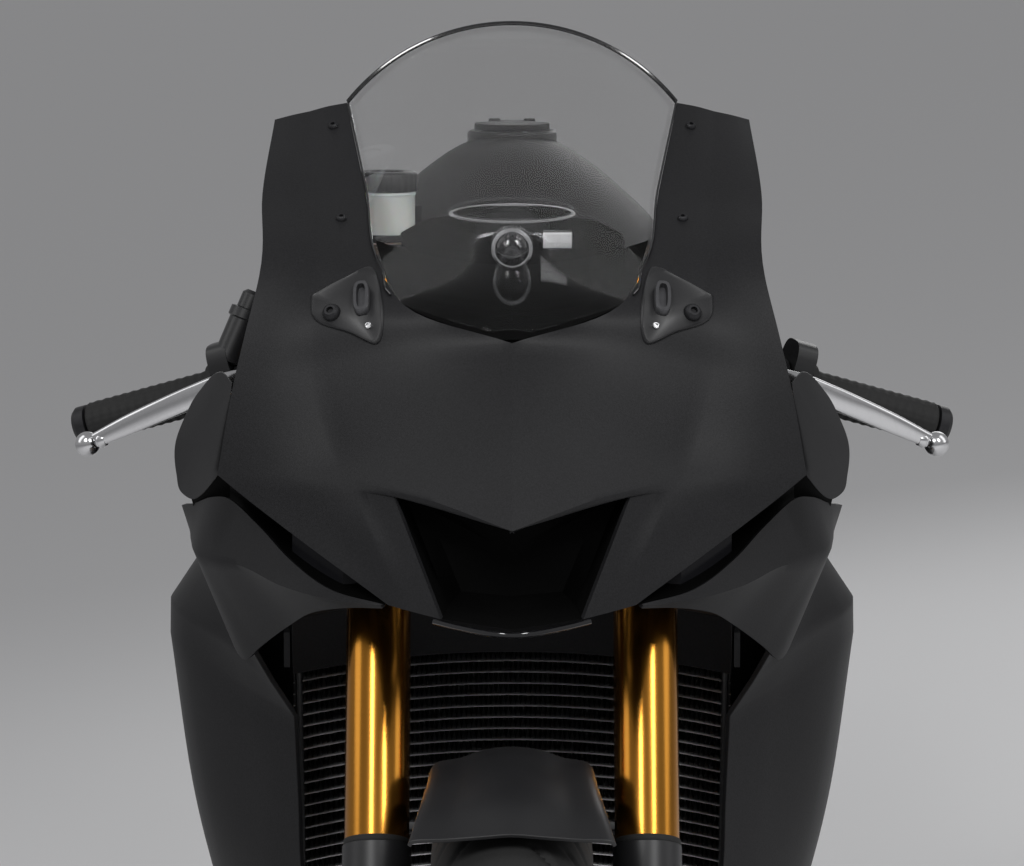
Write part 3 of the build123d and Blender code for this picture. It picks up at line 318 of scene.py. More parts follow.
def finish_group(name, texture):
    """Group that varies a colour and a roughness by a fine texture and by broad handling marks:
    colour (1 + contrast (fine - 1/2) + contrast / 2 (broad - 1/2)), roughness + spread (broad - 1/2)."""
    group, given, out = new_group(name, FINISH_INPUTS, FINISH_OUTPUTS)
    place = group.nodes.new("ShaderNodeTexCoord").outputs["Object"]
    stretched = group.nodes.new("ShaderNodeVectorMath")
    stretched.operation = "MULTIPLY"
    group.links.new(place, stretched.inputs[0])
    group.links.new(given.outputs["Stretch"], stretched.inputs[1])
    fine = group.nodes.new(texture)
    group.links.new(stretched.outputs[0], fine.inputs["Vector"])
    group.links.new(given.outputs["Scale"], fine.inputs["Scale"])
    if texture == "ShaderNodeTexNoise":
        fine.inputs["Detail"].default_value = FINE_DETAIL
    broad = group.nodes.new("ShaderNodeTexNoise")
    broad.inputs["Scale"].default_value = BROAD_SCALE
    broad.inputs["Detail"].default_value = BROAD_DETAIL
    group.links.new(place, broad.inputs["Vector"])
    fine_part = math_node(group, "SUBTRACT", fine.outputs[0], 0.5)
    broad_part = math_node(group, "SUBTRACT", broad.outputs[0], 0.5)
    half = math_node(group, "MULTIPLY", broad_part, 0.5)
    both = math_node(group, "ADD", fine_part, half)
    share = math_node(group, "MULTIPLY", both, given.outputs["Contrast"])
    factor = math_node(group, "ADD", share, 1.0)
    tint = group.nodes.new("ShaderNodeVectorMath")
    tint.operation = "SCALE"
    group.links.new(given.outputs["Colour"], tint.inputs[0])
    group.links.new(factor, tint.inputs["Scale"])
    group.links.new(tint.outputs[0], out.inputs["Colour"])
    worn = math_node(group, "MULTIPLY", broad_part, given.outputs["Spread"])
    group.links.new(math_node(group, "ADD", worn, given.outputs["Roughness"]), out.inputs["Roughness"])
    group.links.new(fine.outputs[0], out.inputs["Height"])
    return group


# Columns: texture, colour, roughness, scale, contrast, spread, stretch, bump height in metres, shader sockets
GRAIN, PEBBLE = "ShaderNodeTexNoise", "ShaderNodeTexVoronoi"
EVEN = (1, 1, 1)
FINISHES = {
    "matte_black": (
        GRAIN, (0.011, 0.011, 0.012), 0.48, 800, 1.4, 0.12, EVEN, 1.2e-4, {"Specular IOR Level": 0.2}
    ),
    "satin_black": (GRAIN, (0.012, 0.012, 0.013), 0.38, 700, 0.5, 0.14, EVEN, 2e-5, {}),
    "gloss_black": (GRAIN, (0.006, 0.006, 0.007), 0.1, 60, 0.4, 0.06, EVEN, 0, {"Coat Weight": 0.6}),
    "deep_black": (GRAIN, (0.003, 0.003, 0.003), 0.5, 300, 0.4, 0.1, EVEN, 0, {"Specular IOR Level": 0.03}),
    "cast_black": (GRAIN, (0.02, 0.02, 0.022), 0.46, 420, 0.6, 0.16, EVEN, 8e-5, {"Metallic": 0.6}),
    "grey_alloy": (GRAIN, (0.09, 0.09, 0.095), 0.42, 300, 0.4, 0.14, EVEN, 2e-5, {"Metallic": 0.8}),
    "gold": (GRAIN, (0.46, 0.2, 0.03), 0.2, 90, 0.12, 0.1, (1, 1, 14), 6e-6, {"Metallic": 1.0}),
    "polished": (GRAIN, (0.62, 0.62, 0.63), 0.2, 60, 0.12, 0.12, (14, 1, 1), 0, {"Metallic": 1.0}),
    "steel": (GRAIN, (0.4, 0.4, 0.41), 0.34, 160, 0.3, 0.16, EVEN, 1e-5, {"Metallic": 1.0}),
    "ground_steel": (GRAIN, (0.5, 0.5, 0.51), 0.3, 120, 0.3, 0.14, (1, 9, 1), 1e-5, {"Metallic": 1.0}),
    # Partly painted light: bare alloy, its colour raised so that the core's tubes read bright in their shade
    "lit_bare_alloy": (GRAIN, (0.78, 0.78, 0.79), 0.44, 260, 0.35, 0.16, EVEN, 1e-5, {"Metallic": 0.9}),
    # Painted shade: the fins are the core's alloy made dark, standing for the shade between the tubes
    "shaded_fin_alloy": (GRAIN, (0.2, 0.2, 0.205), 0.4, 240, 0.4, 0.16, EVEN, 0, {"Metallic": 0.9}),
    "heated_steel": (GRAIN, (0.34, 0.3, 0.26), 0.3, 22, 0.8, 0.16, EVEN, 0, {"Metallic": 1.0}),
    "rubber": (GRAIN, (0.014, 0.014, 0.014), 0.72, 520, 0.6, 0.14, EVEN, 6e-5, {"Specular IOR Level": 0.3}),
    "leather": (PEBBLE, (0.02, 0.02, 0.021), 0.56, 420, 0.5, 0.12, EVEN, 1.6e-4, {"Sheen Weight": 0.1}),
    # Partly painted light: milky white, its colour raised so that the cup reads bright through the screen's veil
    # and its shade
    "lit_milky": (GRAIN, (0.86, 0.86, 0.82), 0.32, 120, 0.08, 0.06, EVEN, 0, {"Subsurface Weight": 0.3}),
    "dark_lens": (GRAIN, (0.012, 0.012, 0.014), 0.2, 40, 0.3, 0.04, EVEN, 0, {"Specular IOR Level": 0.08}),
    "red_lens": (GRAIN, (0.32, 0.008, 0.01), 0.14, 60, 0.3, 0.05, EVEN, 0, {"Coat Weight": 0.6}),
}
# The finish of each slot's solids
SLOT_FINISH = {
    "tyre": "rubber",
    "rim": "satin_black",
    "disc": "ground_steel",
    "steel": "steel",
    "gold": "gold",
    "slider": "cast_black",
    "black_alloy": "cast_black",
    "grip": "rubber",
    "lever": "polished",
    "reservoir": "lit_milky",
    "black_plastic": "matte_black",
    "duct": "gloss_black",
    "radiator": "lit_bare_alloy",
    "tank": "matte_black",
    "seat": "leather",
    "exhaust": "heated_steel",
    "lamp": "dark_lens",
    "tail_lens": "red_lens",
}
finishes = {}


def surface_finish(name, groups):
    """Material of one row of the table: a shared group into a Principled shader, with its bump."""
    texture, colour, roughness, scale, contrast, spread, stretch, height, sockets = FINISHES[name]
    material = bpy.data.materials.new(name)
    material.use_nodes = True
    tree = material.node_tree
    shader = tree.nodes["Principled BSDF"]
    node = tree.nodes.new("ShaderNodeGroup")
    node.node_tree = groups[texture]
    values = (*colour, 1), roughness, scale, contrast, spread, stretch
    for (_, label, _), value in zip(FINISH_INPUTS, values):
        node.inputs[label].default_value = value
    tree.links.new(node.outputs["Colour"], shader.inputs["Base Color"])
    tree.links.new(node.outputs["Roughness"], shader.inputs["Roughness"])
    if height:
        bump = tree.nodes.new("ShaderNodeBump")
        bump.inputs["Strength"].default_value = BUMP_STRENGTH
        bump.inputs["Distance"].default_value = height
        tree.links.new(node.outputs["Height"], bump.inputs["Height"])
        tree.links.new(bump.outputs[0], shader.inputs["Normal"])
    for socket, value in sockets.items():
        shader.inputs[socket].default_value = value
    return material


def clear_finish(name, colour, roughness):
    """Clear sheet: a transmitting shader with a faint tint and wiping marks in its roughness."""
    material = bpy.data.materials.new(name)
    material.use_nodes = True
    tree = material.node_tree
    shader = tree.nodes["Principled BSDF"]
    shader.inputs["Base Color"].default_value = (*colour, 1)
    shader.inputs["Transmission Weight"].default_value = 1.0
    shader.inputs["IOR"].default_value = CLEAR_INDEX
    shader.inputs["Alpha"].default_value = CLEAR_ALPHA
    marks = tree.nodes.new("ShaderNodeTexNoise")
    marks.inputs["Scale"].default_value = CLEAR_MARKS
    place = tree.nodes.new("ShaderNodeTexCoord")
    tree.links.new(place.outputs["Object"], marks.inputs["Vector"])
    share = math_node(tree, "MULTIPLY", marks.outputs[0], roughness)
    tree.links.new(share, shader.inputs["Roughness"])
    return material


def piece(name, part, body, finish, wall=0.0, replaces=(), crease=32.0, edge=0.0):
    """Puts a part into the scene as a piece that rides on a body. Wall gives a thickness inwards, in
    millimetres, and edge a small round along its rims."""
    points, quads, polygons = part
    mesh = bpy.data.meshes.new(name)
    mesh.from_pydata(to_world(points).tolist(), [], quads.tolist() + polygons)
    mesh.shade_smooth()
    mesh.set_sharp_from_angle(angle=radians(crease))
    if wall:
        used = np.zeros(len(mesh.loops), np.int32)
        mesh.loops.foreach_get("edge_index", used)
        rim = np.bincount(used, minlength=len(mesh.edges)) == 1
        sharp = np.zeros(len(mesh.edges), bool)
        mesh.edges.foreach_get("use_edge_sharp", sharp)
        mesh.edges.foreach_set("use_edge_sharp", sharp | rim)
    mesh.materials.append(finishes[finish])
    obj = bpy.data.objects.new(name, mesh)
    bpy.context.scene.collection.objects.link(obj)
    if wall:
        shell = obj.modifiers.new("wall", "SOLIDIFY")
        shell.thickness = wall / MM
        shell.offset = -1.0
        shell.use_even_offset = False
    if edge:
        round_off = obj.modifiers.new("edge", "BEVEL")
        round_off.width = edge / MM
        round_off.segments = 2
        round_off.limit_method = "ANGLE"
        round_off.angle_limit = radians(50)
        round_off.harden_normals = True
    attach(obj, body)
    if replaces:
        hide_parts(*replaces)
    return obj


# Settings that a user would change
class StudioSettings(bpy.types.PropertyGroup):
    """Camera, lamps and backdrop."""

    distance: FloatProperty(
        name="Camera distance",
        description="From the middle of the wheelbase to the camera, along the bike",
        default=4.053,
        unit="LENGTH",
    )
    height: FloatProperty(
        name="Camera height", description="Above the ground under the wheels", default=1.271, unit="LENGTH"
    )
    pitch: FloatProperty(
        name="Camera pitch", description="Downward tilt of the view", default=radians(7), subtype="ANGLE"
    )
    lens: FloatProperty(
        name="Lens", description="Focal length on a 36 mm sensor", default=162.25, unit="CAMERA"
    )
    key: FloatProperty(name="Key power", description="Power of each front softbox in watts", default=46.0)
    top: FloatProperty(name="Top power", description="Power of each high softbox in watts", default=17.0)
    backdrop: FloatVectorProperty(
        name="Backdrop",
        description="Colour of the floor",
        default=(0.72, 0.72, 0.725),
        subtype="COLOR",
        size=3,
    )


class BodySettings(bpy.types.PropertyGroup):
    """Walls and fasteners of the bodywork."""

    panel_wall: FloatProperty(
        name="Panel wall", description="Thickness of the fairing panels", default=0.0045, unit="LENGTH"
    )
    screen_wall: FloatProperty(
        name="Screen wall", description="Thickness of the clear screen", default=0.003, unit="LENGTH"
    )
    screw_radius: FloatProperty(
        name="Screw radius", description="Radius of the small screw heads", default=0.0042, unit="LENGTH"
    )


class ControlSettings(bpy.types.PropertyGroup):
    """Grips and levers."""

    rib_pitch: FloatProperty(
        name="Grip rib", description="Length of one rib of the grips", default=0.008, unit="LENGTH"
    )
    ball: FloatProperty(
        name="Lever ball", description="Radius of the ball at the lever's tip", default=0.01, unit="LENGTH"
    )


class RadiatorSettings(bpy.types.PropertyGroup):
    """Tubes and fins of the core."""

    tubes: IntProperty(name="Tubes", description="Flat tubes in the core", default=26)
    folds: IntProperty(name="Folds", description="Folds of each fin across the core", default=88)
    tube_height: FloatProperty(
        name="Tube height", description="Height of a flat tube", default=0.0016, unit="LENGTH"
    )


class WheelSettings(bpy.types.PropertyGroup):
    """Tread and chain."""

    steps: IntProperty(name="Tread steps", description="Points round each tyre", default=900)
    groove: FloatProperty(
        name="Groove depth", description="Depth of the tread grooves", default=0.0035, unit="LENGTH"
    )
    pitch: FloatProperty(
        name="Chain pitch", description="Distance between the chain's pins", default=0.015875, unit="LENGTH"
    )


class SeatSettings(bpy.types.PropertyGroup):
    """Padding of the seat."""

    swell: FloatProperty(
        name="Swell", description="Most that the padding may swell", default=0.007, unit="LENGTH"
    )


class SPORTBIKE_OT_finishes(bpy.types.Operator):
    """Makes every material and gives the solids theirs"""

    bl_idname = "sportbike.finishes"
    bl_label = "Finishes"

    def execute(self, context):
        groups = {
            texture: finish_group(name, texture)
            for texture, name in ((GRAIN, "grain"), (PEBBLE, "pebble"))
        }
        for name in FINISHES:
            finishes[name] = surface_finish(name, groups)
        finishes["clear"] = clear_finish("clear", CLEAR_COLOUR, CLEAR_ROUGHNESS)
        slots = {part["node"]: part["material_slot"] for part in frame["record"]["subparts"]}
        for node, obj in frame["nodes"].items():
            finish = finishes[SLOT_FINISH.get(slots[node], "clear")]
            obj.data.materials.clear()
            obj.data.materials.append(finish)
        return {"FINISHED"}


# Studio: half the side of the floor in metres, colour of the world, and what the lamps aim at
FLOOR_HALF = 400.0
WORLD_COLOUR = (0.32, 0.32, 0.325, 1)
NOSE_AT, MIDDLE_AT = np.array([0.0, -900.0, 700.0]), np.array([0.0, 0.0, 600.0])


class SPORTBIKE_OT_studio(bpy.types.Operator):
    """Makes the floor, the lamps and the camera"""

    bl_idname = "sportbike.studio"
    bl_label = "Studio"

    def execute(self, context):
        settings = context.scene.sportbike_studio
        self.backdrop(settings)
        self.camera(context, settings)
        # Columns: name, azimuth from straight ahead to the left, elevation, distance, size, power
        lamps = [
            ("key_right", -29, 44, 3.4, (0.6, 1.3), settings.key),
            ("key_left", 33, 44, 3.4, (0.6, 1.3), settings.key),
        ]
        for name, azimuth, elevation, distance, size, power in lamps:
            level = cos(radians(elevation)) * distance * MM
            out = (
                sin(radians(azimuth)) * level, -cos(radians(azimuth)) * level,
                sin(radians(elevation)) * distance * MM,
            )
            self.lamp(name, NOSE_AT + out, NOSE_AT, size, power)
        for name, side in (("high_left", 1), ("high_right", -1)):
            self.lamp(name, np.array([side * 2500.0, -600.0, 2600.0]), MIDDLE_AT, (1.4, 3.0), settings.top)
        self.lamp("back", np.array([900.0, 3300.0, 2300.0]), MIDDLE_AT, (2.0, 1.6), settings.top)
        world = bpy.data.worlds.new("studio")
        context.scene.world = world
        world.use_nodes = True
        world.node_tree.nodes["Background"].inputs["Color"].default_value = WORLD_COLOUR
        context.scene.view_settings.view_transform = "Standard"
        return {"FINISHED"}

    def backdrop(self, settings):
        """Level floor out to where it meets the top of the view: x and y along a square grid, z = 0."""
        side = np.linspace(-FLOOR_HALF, FLOOR_HALF, 9)
        grid = np.stack(np.broadcast_arrays(side[None], side[:, None], np.zeros((1, 1))), -1)
        points, quads, _ = grid_part(grid, inside=(0, 0, -30))
        mesh = bpy.data.meshes.new("backdrop")
        mesh.from_pydata(points.tolist(), [], quads.tolist())
        mesh.shade_smooth()
        material = bpy.data.materials.new("backdrop")
        material.use_nodes = True
        shader = material.node_tree.nodes["Principled BSDF"]
        shader.inputs["Base Color"].default_value = (*settings.backdrop, 1)
        shader.inputs["Roughness"].default_value = 0.9
        mesh.materials.append(material)
        obj = bpy.data.objects.new("backdrop", mesh)
        bpy.context.scene.collection.objects.link(obj)

    def camera(self, context, settings):
        """Straight ahead of the bike and leaned with it, so that the bike stands upright in the frame."""
        view = np.array([0, cos(settings.pitch), -sin(settings.pitch)])
        up = np.array([0, sin(settings.pitch), cos(settings.pitch)])
        axes = np.stack([np.array([1.0, 0, 0]), up, -view]) @ LEANING.T
        matrix = np.eye(4)
        matrix[:3, :3] = axes.T
        matrix[:3, 3] = to_world((0, -settings.distance * MM, settings.height * MM))
        data = bpy.data.cameras.new("camera")
        data.lens = settings.lens
        data.sensor_width = 36.0
        data.sensor_fit = "HORIZONTAL"
        obj = bpy.data.objects.new("camera", data)
        obj.matrix_world = Matrix(matrix.tolist())
        context.scene.collection.objects.link(obj)
        context.scene.camera = obj

    def lamp(self, name, place, target, size, power):
        """Softbox at a place, facing a target, both in the bike's frame."""
        data = bpy.data.lights.new(name, "AREA")
        data.shape = "RECTANGLE"
        data.size, data.size_y = size
        data.energy = power
        first, second, axis = upright(to_world(place) - to_world(target))
        matrix = np.eye(4)
        matrix[:3, :3] = np.stack([first, second, axis], 1)
        matrix[:3, 3] = to_world(place)
        obj = bpy.data.objects.new(name, data)
        obj.matrix_world = Matrix(matrix.tolist())
        bpy.context.scene.collection.objects.link(obj)


# Nose cowl, left hand, from the lip beside the intake to the tip of the ear.
# Columns: inner edge, crease and outer edge, each x, y, z, then the swell of the face between them
COWL_ROWS = [
    ((53, -674, 717), (80, -655, 721), (92.7, -645, 723), 0.0),
    ((89, -633, 804), (119.5, -613, 804), (185, -585, 782), 0.0),
    ((0, -703, 787), (123.5, -605, 813), (205, -572, 795.5), 6.0),
    ((0, -655, 845), (128, -596, 823), (225, -560, 810), 6.0),
    ((0, -590, 914), (150, -563, 889.5), (213, -550, 878), 5.0),
    ((81, -562, 939.5), (150, -551.5, 927), (204.5, -541, 915), 2.0),
    ((101, -522, 963.5), (150, -520.5, 961), (194.4, -519, 958), 2.0),
    ((115.6, -428, 1018.4), (157, -427, 1017), (196.4, -426, 1015.2), 1.0),
    ((133, -332, 1082), (163, -327.5, 1075), (191.5, -323, 1068), 1.0),
]
COWL_SWELL = np.array([0, -0.7, 0.7])
COWL_STEPS = (8, 8)
# Corners of the edges: the intake's corners, the screen's toe and the cowl's shoulder
COWL_CORNERS = {0: (1, 2, 4), 1: (1, 2), 4: (3,)}
COWL_INSIDE = (0, -200, 600)
# Mirror pad on the cowl, left hand: x and z of its outline, slot, screw and pin
PAD_OUTLINE = [(154, 945), (131, 957), (107, 965), (98, 941), (102, 911), (123, 918.5), (153, 931)]
PAD_SLOT, PAD_SCREW, PAD_PIN = (114.3, 943), (137.2, 933), (109, 925)
# Windscreen stations: y, half width, edge z, crown z
SCREEN_ROWS = [
    (-582, 15, 922, 925),
    (-562, 77, 940, 947),
    (-522, 99.7, 964.5, 987),
    (-428, 114.6, 1019.4, 1074),
    (-332, 132.2, 1083, 1146),
]
# Intake opening, left half, round from the top middle to the bottom middle
INTAKE_EDGE = [(0, -703, 787), (89, -631, 804), (53, -674, 717), (0, -698, 713)]
INTAKE_MIDDLE = np.array([0, -640, 757])
# Side fairings, left hand: points down each station
ARM_ROWS = [
    [(97, -640, 723), (98.5, -640, 721.5), (97, -640, 719.5)],
    [(137, -610, 729), (139, -610, 722), (124, -610, 715)],
    [(169, -575, 746.5), (177, -575, 727), (152, -575, 706)],
    [(195, -540, 768), (207, -540, 736), (171, -540, 690.5)],
    [(223, -500, 784.5), (237, -500, 736), (197, -500, 666)],
    [(234, -480, 782), (247, -480, 737), (209.5, -480, 653)],
    [(250, -440, 772), (254, -440, 742), (232, -440, 690)],
    [(264, -400, 764.5), (257, -400, 742), (243, -400, 712)],
]
# Lower fairings, left hand: y, then x and z of the points down the section
PANEL_ROWS = [
    (-465, (211, 668), (190, 632), (172, 605), (169, 535), (167, 479), (150, 395)),
    (-430, (229, 697), (228, 660), (212, 620), (204, 540), (198, 470), (172, 372)),
    (-370, (246, 715), (269, 675), (268, 645), (250, 525), (236, 460), (203, 352)),
    (-200, (246, 700), (266, 665), (266, 635), (256, 535), (241, 450), (214, 352)),
    (-70, (222, 650), (240, 620), (240, 590), (236, 515), (228, 440), (205, 345)),
]
# Shoulder panels, left hand: x and z of the outline, and y of the face
SHOULDER_OUTLINE = [
    (
        213.6, 880
    ), (221, 888), (240, 872), (250, 854), (258, 831), (257, 809), (254, 796), (246, 790), (226.5, 806)
]
SHOULDER_FACE = -551.0
# Belly pan: y, half width and z of its top edge, half width and z of its floor
BELLY_ROWS = [
    (-330, 150, 345, 60, 200), (-200, 206, 346, 80, 150), (-40, 200, 338, 82, 145), (56, 176, 306, 76, 160)
]


def cowl_sheet():
    """Left half of the cowl: Hermite columns through its rows, swollen between edge and crease."""
    net = []
    for inner, crease, outer, swell in COWL_ROWS:
        inner, crease, outer = np.array([inner, crease, outer], float)
        push = COWL_SWELL * swell
        net.append([inner, (inner + crease) / 2 + push, crease, (crease + outer) / 2 + push * 0.5, outer])
    corners = np.zeros((len(net), 5), bool)
    for column, rows in COWL_CORNERS.items():
        corners[list(rows), column] = True
    return sheet(net, *COWL_STEPS, corners, [False, False, True, False, False])


def pinned(grid, x, z, lift=0.0):
    """Points of a sheet seen at x and z from ahead, on the nearest grid point's tangent plane, and its
    normals."""
    normals = unit(np.cross(np.gradient(grid, axis=1), np.gradient(grid, axis=0))).reshape(-1, 3)
    normals *= np.sign(-normals[:, 1:2] + 0.3 * normals[:, 2:])
    flat = grid.reshape(-1, 3)
    x, z = np.atleast_1d(np.asarray(x, float)), np.atleast_1d(np.asarray(z, float))
    near = np.argmin((flat[:, 0] - x[:, None]) ** 2 + (flat[:, 2] - z[:, None]) ** 2, axis=1)
    normal, base = normals[near], flat[near]
    y = base[:, 1] - (normal[:, 0] * (x - base[:, 0]) + normal[:, 2] * (z - base[:, 2])) / normal[:, 1]
    return np.stack([x, y, z], 1) + normal * lift, normal


def fan_part(outline, face, dome, steps=8, rings=6, inside=None):
    """Domed plate in an x, z outline: centre + v (edge(u) - centre), forward by dome (1 - v^2)."""
    loop = np.array(outline + outline[:1], float)
    loop = smooth_path(loop, steps)[:-1]
    middle = loop.mean(0)
    v = np.linspace(1, 0.02, rings)[:, None, None]
    flat = middle + v * (loop - middle)
    y = np.broadcast_to(face - dome * (1 - v**2), flat[..., :1].shape)
    grid = np.concatenate([flat[..., :1], y, flat[..., 1:]], -1)
    points, quads, ends = grid_part(grid, inside=inside, wrap=True, cap=True)
    return points, quads, ends[1:]


class SPORTBIKE_OT_nose_cowl(bpy.types.Operator):
    """Makes the nose cowl with its mirror pads, screws and lower lip"""

    bl_idname = "sportbike.nose_cowl"
    bl_label = "Nose cowl"

    def execute(self, context):
        settings = context.scene.sportbike_body
        grid = cowl_sheet()
        wall = settings.panel_wall * MM
        part = both_sides(grid_part(grid, COWL_INSIDE))
        piece("nose_cowl_skin", part, "chassis", "matte_black", wall, ["nose_cowl"], 40, 0.8)
        lip_path = smooth_path(
            [(57, -671, 714.5), (40, -682, 712), (0, -700, 709), (-40, -682, 712), (-57, -671, 714.5)], 10
        )
        lip = sweep(lip_path, ellipse(8, 4.4, 14, 3), (0, -1, 0.2))
        piece("intake_lip", lip, "chassis", "gloss_black")
        self.pads(grid)
        self.screws(grid, settings)
        return {"FINISHED"}

    def pads(self, grid):
        """Mirror pads: raised plates that follow the cowl, each with a slotted boss and a pin."""
        loop = smooth_path(np.array(PAD_OUTLINE + PAD_OUTLINE[:1], float), 6)[:-1]
        middle = loop.mean(0)
        rings = []
        for share, lift in ((1.0, -1.0), (0.985, 1.2), (0.93, 2.2), (0.86, 1.0), (0.4, 0.8), (0.05, 0.8)):
            flat = middle + share * (loop - middle)
            rings.append(pinned(grid, flat[:, 0], flat[:, 1], lift)[0])
        plate = grid_part(np.array(rings), COWL_INSIDE, wrap=True, cap=True)
        piece("mirror_pads", both_sides(plate), "chassis", "satin_black", crease=50)
        at, normal = pinned(grid, *PAD_SLOT)
        up = np.array([0.1, 0.35, 1.0])
        side = unit(np.cross(up, normal[0]))
        up = np.cross(normal[0], side)
        boss = []
        for width, height, lift in ((13, 31, 0), (13, 31, 5), (11.5, 29.5, 6), (7, 24, 6), (6, 23, 1.5)):
            flat = ellipse(width, height, 28, 3.2)
            boss.append(at[0] + flat[:, :1] * side + flat[:, 1:] * up + normal[0] * lift)
        bosses = grid_part(np.array(boss), at[0] - normal[0] * 30, wrap=True, cap=True)
        piece("mirror_bosses", both_sides(bosses), "chassis", "grey_alloy", crease=40)
        pin_at, pin_normal = pinned(grid, *PAD_PIN)
        pin = lathe([(0, 2.6), (2, 2.6), (2.6, 2), (2.6, 1.4), (1, 1.2)], pin_at[0], pin_normal[0], 16)
        piece("mirror_pins", both_sides(pin), "chassis", "polished")

    def screws(self, grid, settings):
        """Domed screws on the ears and in the pads."""
        rows, columns = COWL_STEPS
        # Columns: row and column of the cowl's net
        ear_places = [(7.75, 0.92), (6.58, 0.96)]
        places = [grid[round(row * rows), round(column * columns)] for row, column in ear_places]
        at, normal = pinned(grid, [p[0] for p in places], [p[2] for p in places])
        small = copies(screw_part(settings.screw_radius * MM, 3.2), facing_frames(at, normal))
        at, normal = pinned(grid, *PAD_SCREW, 1.0)
        large = copies(screw_part(settings.screw_radius * MM * 1.7, 4.6), facing_frames(at, normal))
        piece("cowl_screws", both_sides(joined(small, large)), "chassis", "cast_black")


class SPORTBIKE_OT_windscreen(bpy.types.Operator):
    """Makes the clear screen, its edge bead and the dark panel under it"""

    bl_idname = "sportbike.windscreen"
    bl_label = "Windscreen"

    def execute(self, context):
        settings = context.scene.sportbike_body
        grid = self.screen_grid()
        part = grid_part(grid, inside=(0, -300, 700))
        piece(
            "clear_screen", part, "chassis", "clear", settings.screen_wall * MM, ["windscreen"], 60
        )
        top = grid[-1]
        bead = sweep(top, ellipse(3.6, 3.6, 10), (0, 1, 0))
        edges = [sweep(grid[10:, column], ellipse(1.8, 2.4, 8), (1, 0, 0)) for column in (0, -1)]
        piece("screen_bead", joined(bead, *edges), "chassis", "gloss_black")
        self.inner_panel()
        return {"FINISHED"}

    def screen_grid(self):
        """Arcs of a circle through the edges and the crown: R = (h^2 + s^2) / 2s, x = R sin a."""
        rows = np.array(SCREEN_ROWS, float)
        knots = rows[:, 0]
        y, half, edge, crown = through(knots, rows, between(knots, 8)).T
        rise = crown - edge
        radius = (half**2 + rise**2) / (2 * rise)
        reach = np.arcsin(half / radius)
        angle = reach[:, None] * np.linspace(-1, 1, 49)
        x = radius[:, None] * np.sin(angle)
        z = crown[:, None] - radius[:, None] * (1 - np.cos(angle))
        return np.stack([x, np.broadcast_to(y[:, None], x.shape), z], -1)

    def inner_panel(self):
        """Dark panel from the screen's toe to the dash: rows that widen and climb."""
        # Columns: y, half width, edge z, middle z
        rows = np.array(
            [
                (-574, 22, 917, 915), (-556, 72, 934, 928), (-530, 92, 950, 936), (-512, 99, 966, 950),
                (-504, 105, 985, 966),
            ],
            float,
        )
        y, half, edge, middle = through(rows[:, 0], rows, between(rows[:, 0], 6)).T
        across = np.linspace(-1, 1, 25)
        x = half[:, None] * across
        z = middle[:, None] + (edge - middle)[:, None] * across**2
        grid = np.stack([x, np.broadcast_to(y[:, None], x.shape), z], -1)
        piece(
            "screen_base", grid_part(grid, inside=(0, -500, 700)), "chassis", "deep_black",
            2.5,
        )


class SPORTBIKE_OT_intake(bpy.types.Operator):
    """Makes the black air intake and the dark lamp recesses beside it"""

    bl_idname = "sportbike.intake"
    bl_label = "Air intake"

    def execute(self, context):
        edge = np.array(INTAKE_EDGE, float)
        loop = np.concatenate([edge, edge[-2:0:-1] * (-1, 1, 1), edge[:1]])
        corners = np.ones(len(loop), bool)
        knots = np.arange(len(loop))
        loop = through(knots, loop, between(knots, 6), corners)[:-1]
        rings = []
        # Columns: share of the opening, depth behind its edge, share of the opening's own depth that stays
        for share, back, kept in (
            (1.0, 1.0, 1.0), (0.96, 6.0, 1.0), (0.9, 30.0, 0.7), (0.72, 32.0, 0.15), (0.2, 30.0, 0.1)
        ):
            ring = INTAKE_MIDDLE + (loop - INTAKE_MIDDLE) * (share, kept, share)
            rings.append(ring + (0, back, 0))
        duct = grid_part(np.array(rings), inside=(0, -700, 757), wrap=True, cap=True)
        points, quads, ends = duct
        duct = points, quads[:, ::-1], [ends[1][::-1]]
        piece("intake_throat", duct, "chassis", "deep_black", 0, ["intake_duct"], 30)
        recess = self.recess()
        piece("lamp_recesses", both_sides(recess), "chassis", "deep_black", 2.0)
        return {"FINISHED"}

    def recess(self):
        """Strip between the cowl's lower edge and the arm's upper edge, hollowed towards the lamp."""
        lower = np.array(
            [(95, -640, 724), (132, -611, 728), (166, -577, 744), (193, -543, 765), (219, -506, 782)], float
        )
        upper = np.array(
            [(93, -643, 725), (128, -621, 746), (160, -598, 766), (194, -577, 787), (222, -561, 807)], float
        )
        middle = (lower + upper) / 2 + np.array(
            [(0, 8, 0), (-2, 30, 0), (-3, 40, 0), (-4, 40, 0), (-2, 24, 0)]
        )
        net = np.stack([lower, middle, upper], 1)
        return grid_part(sheet(net, 6, 6), inside=(100, -400, 700))


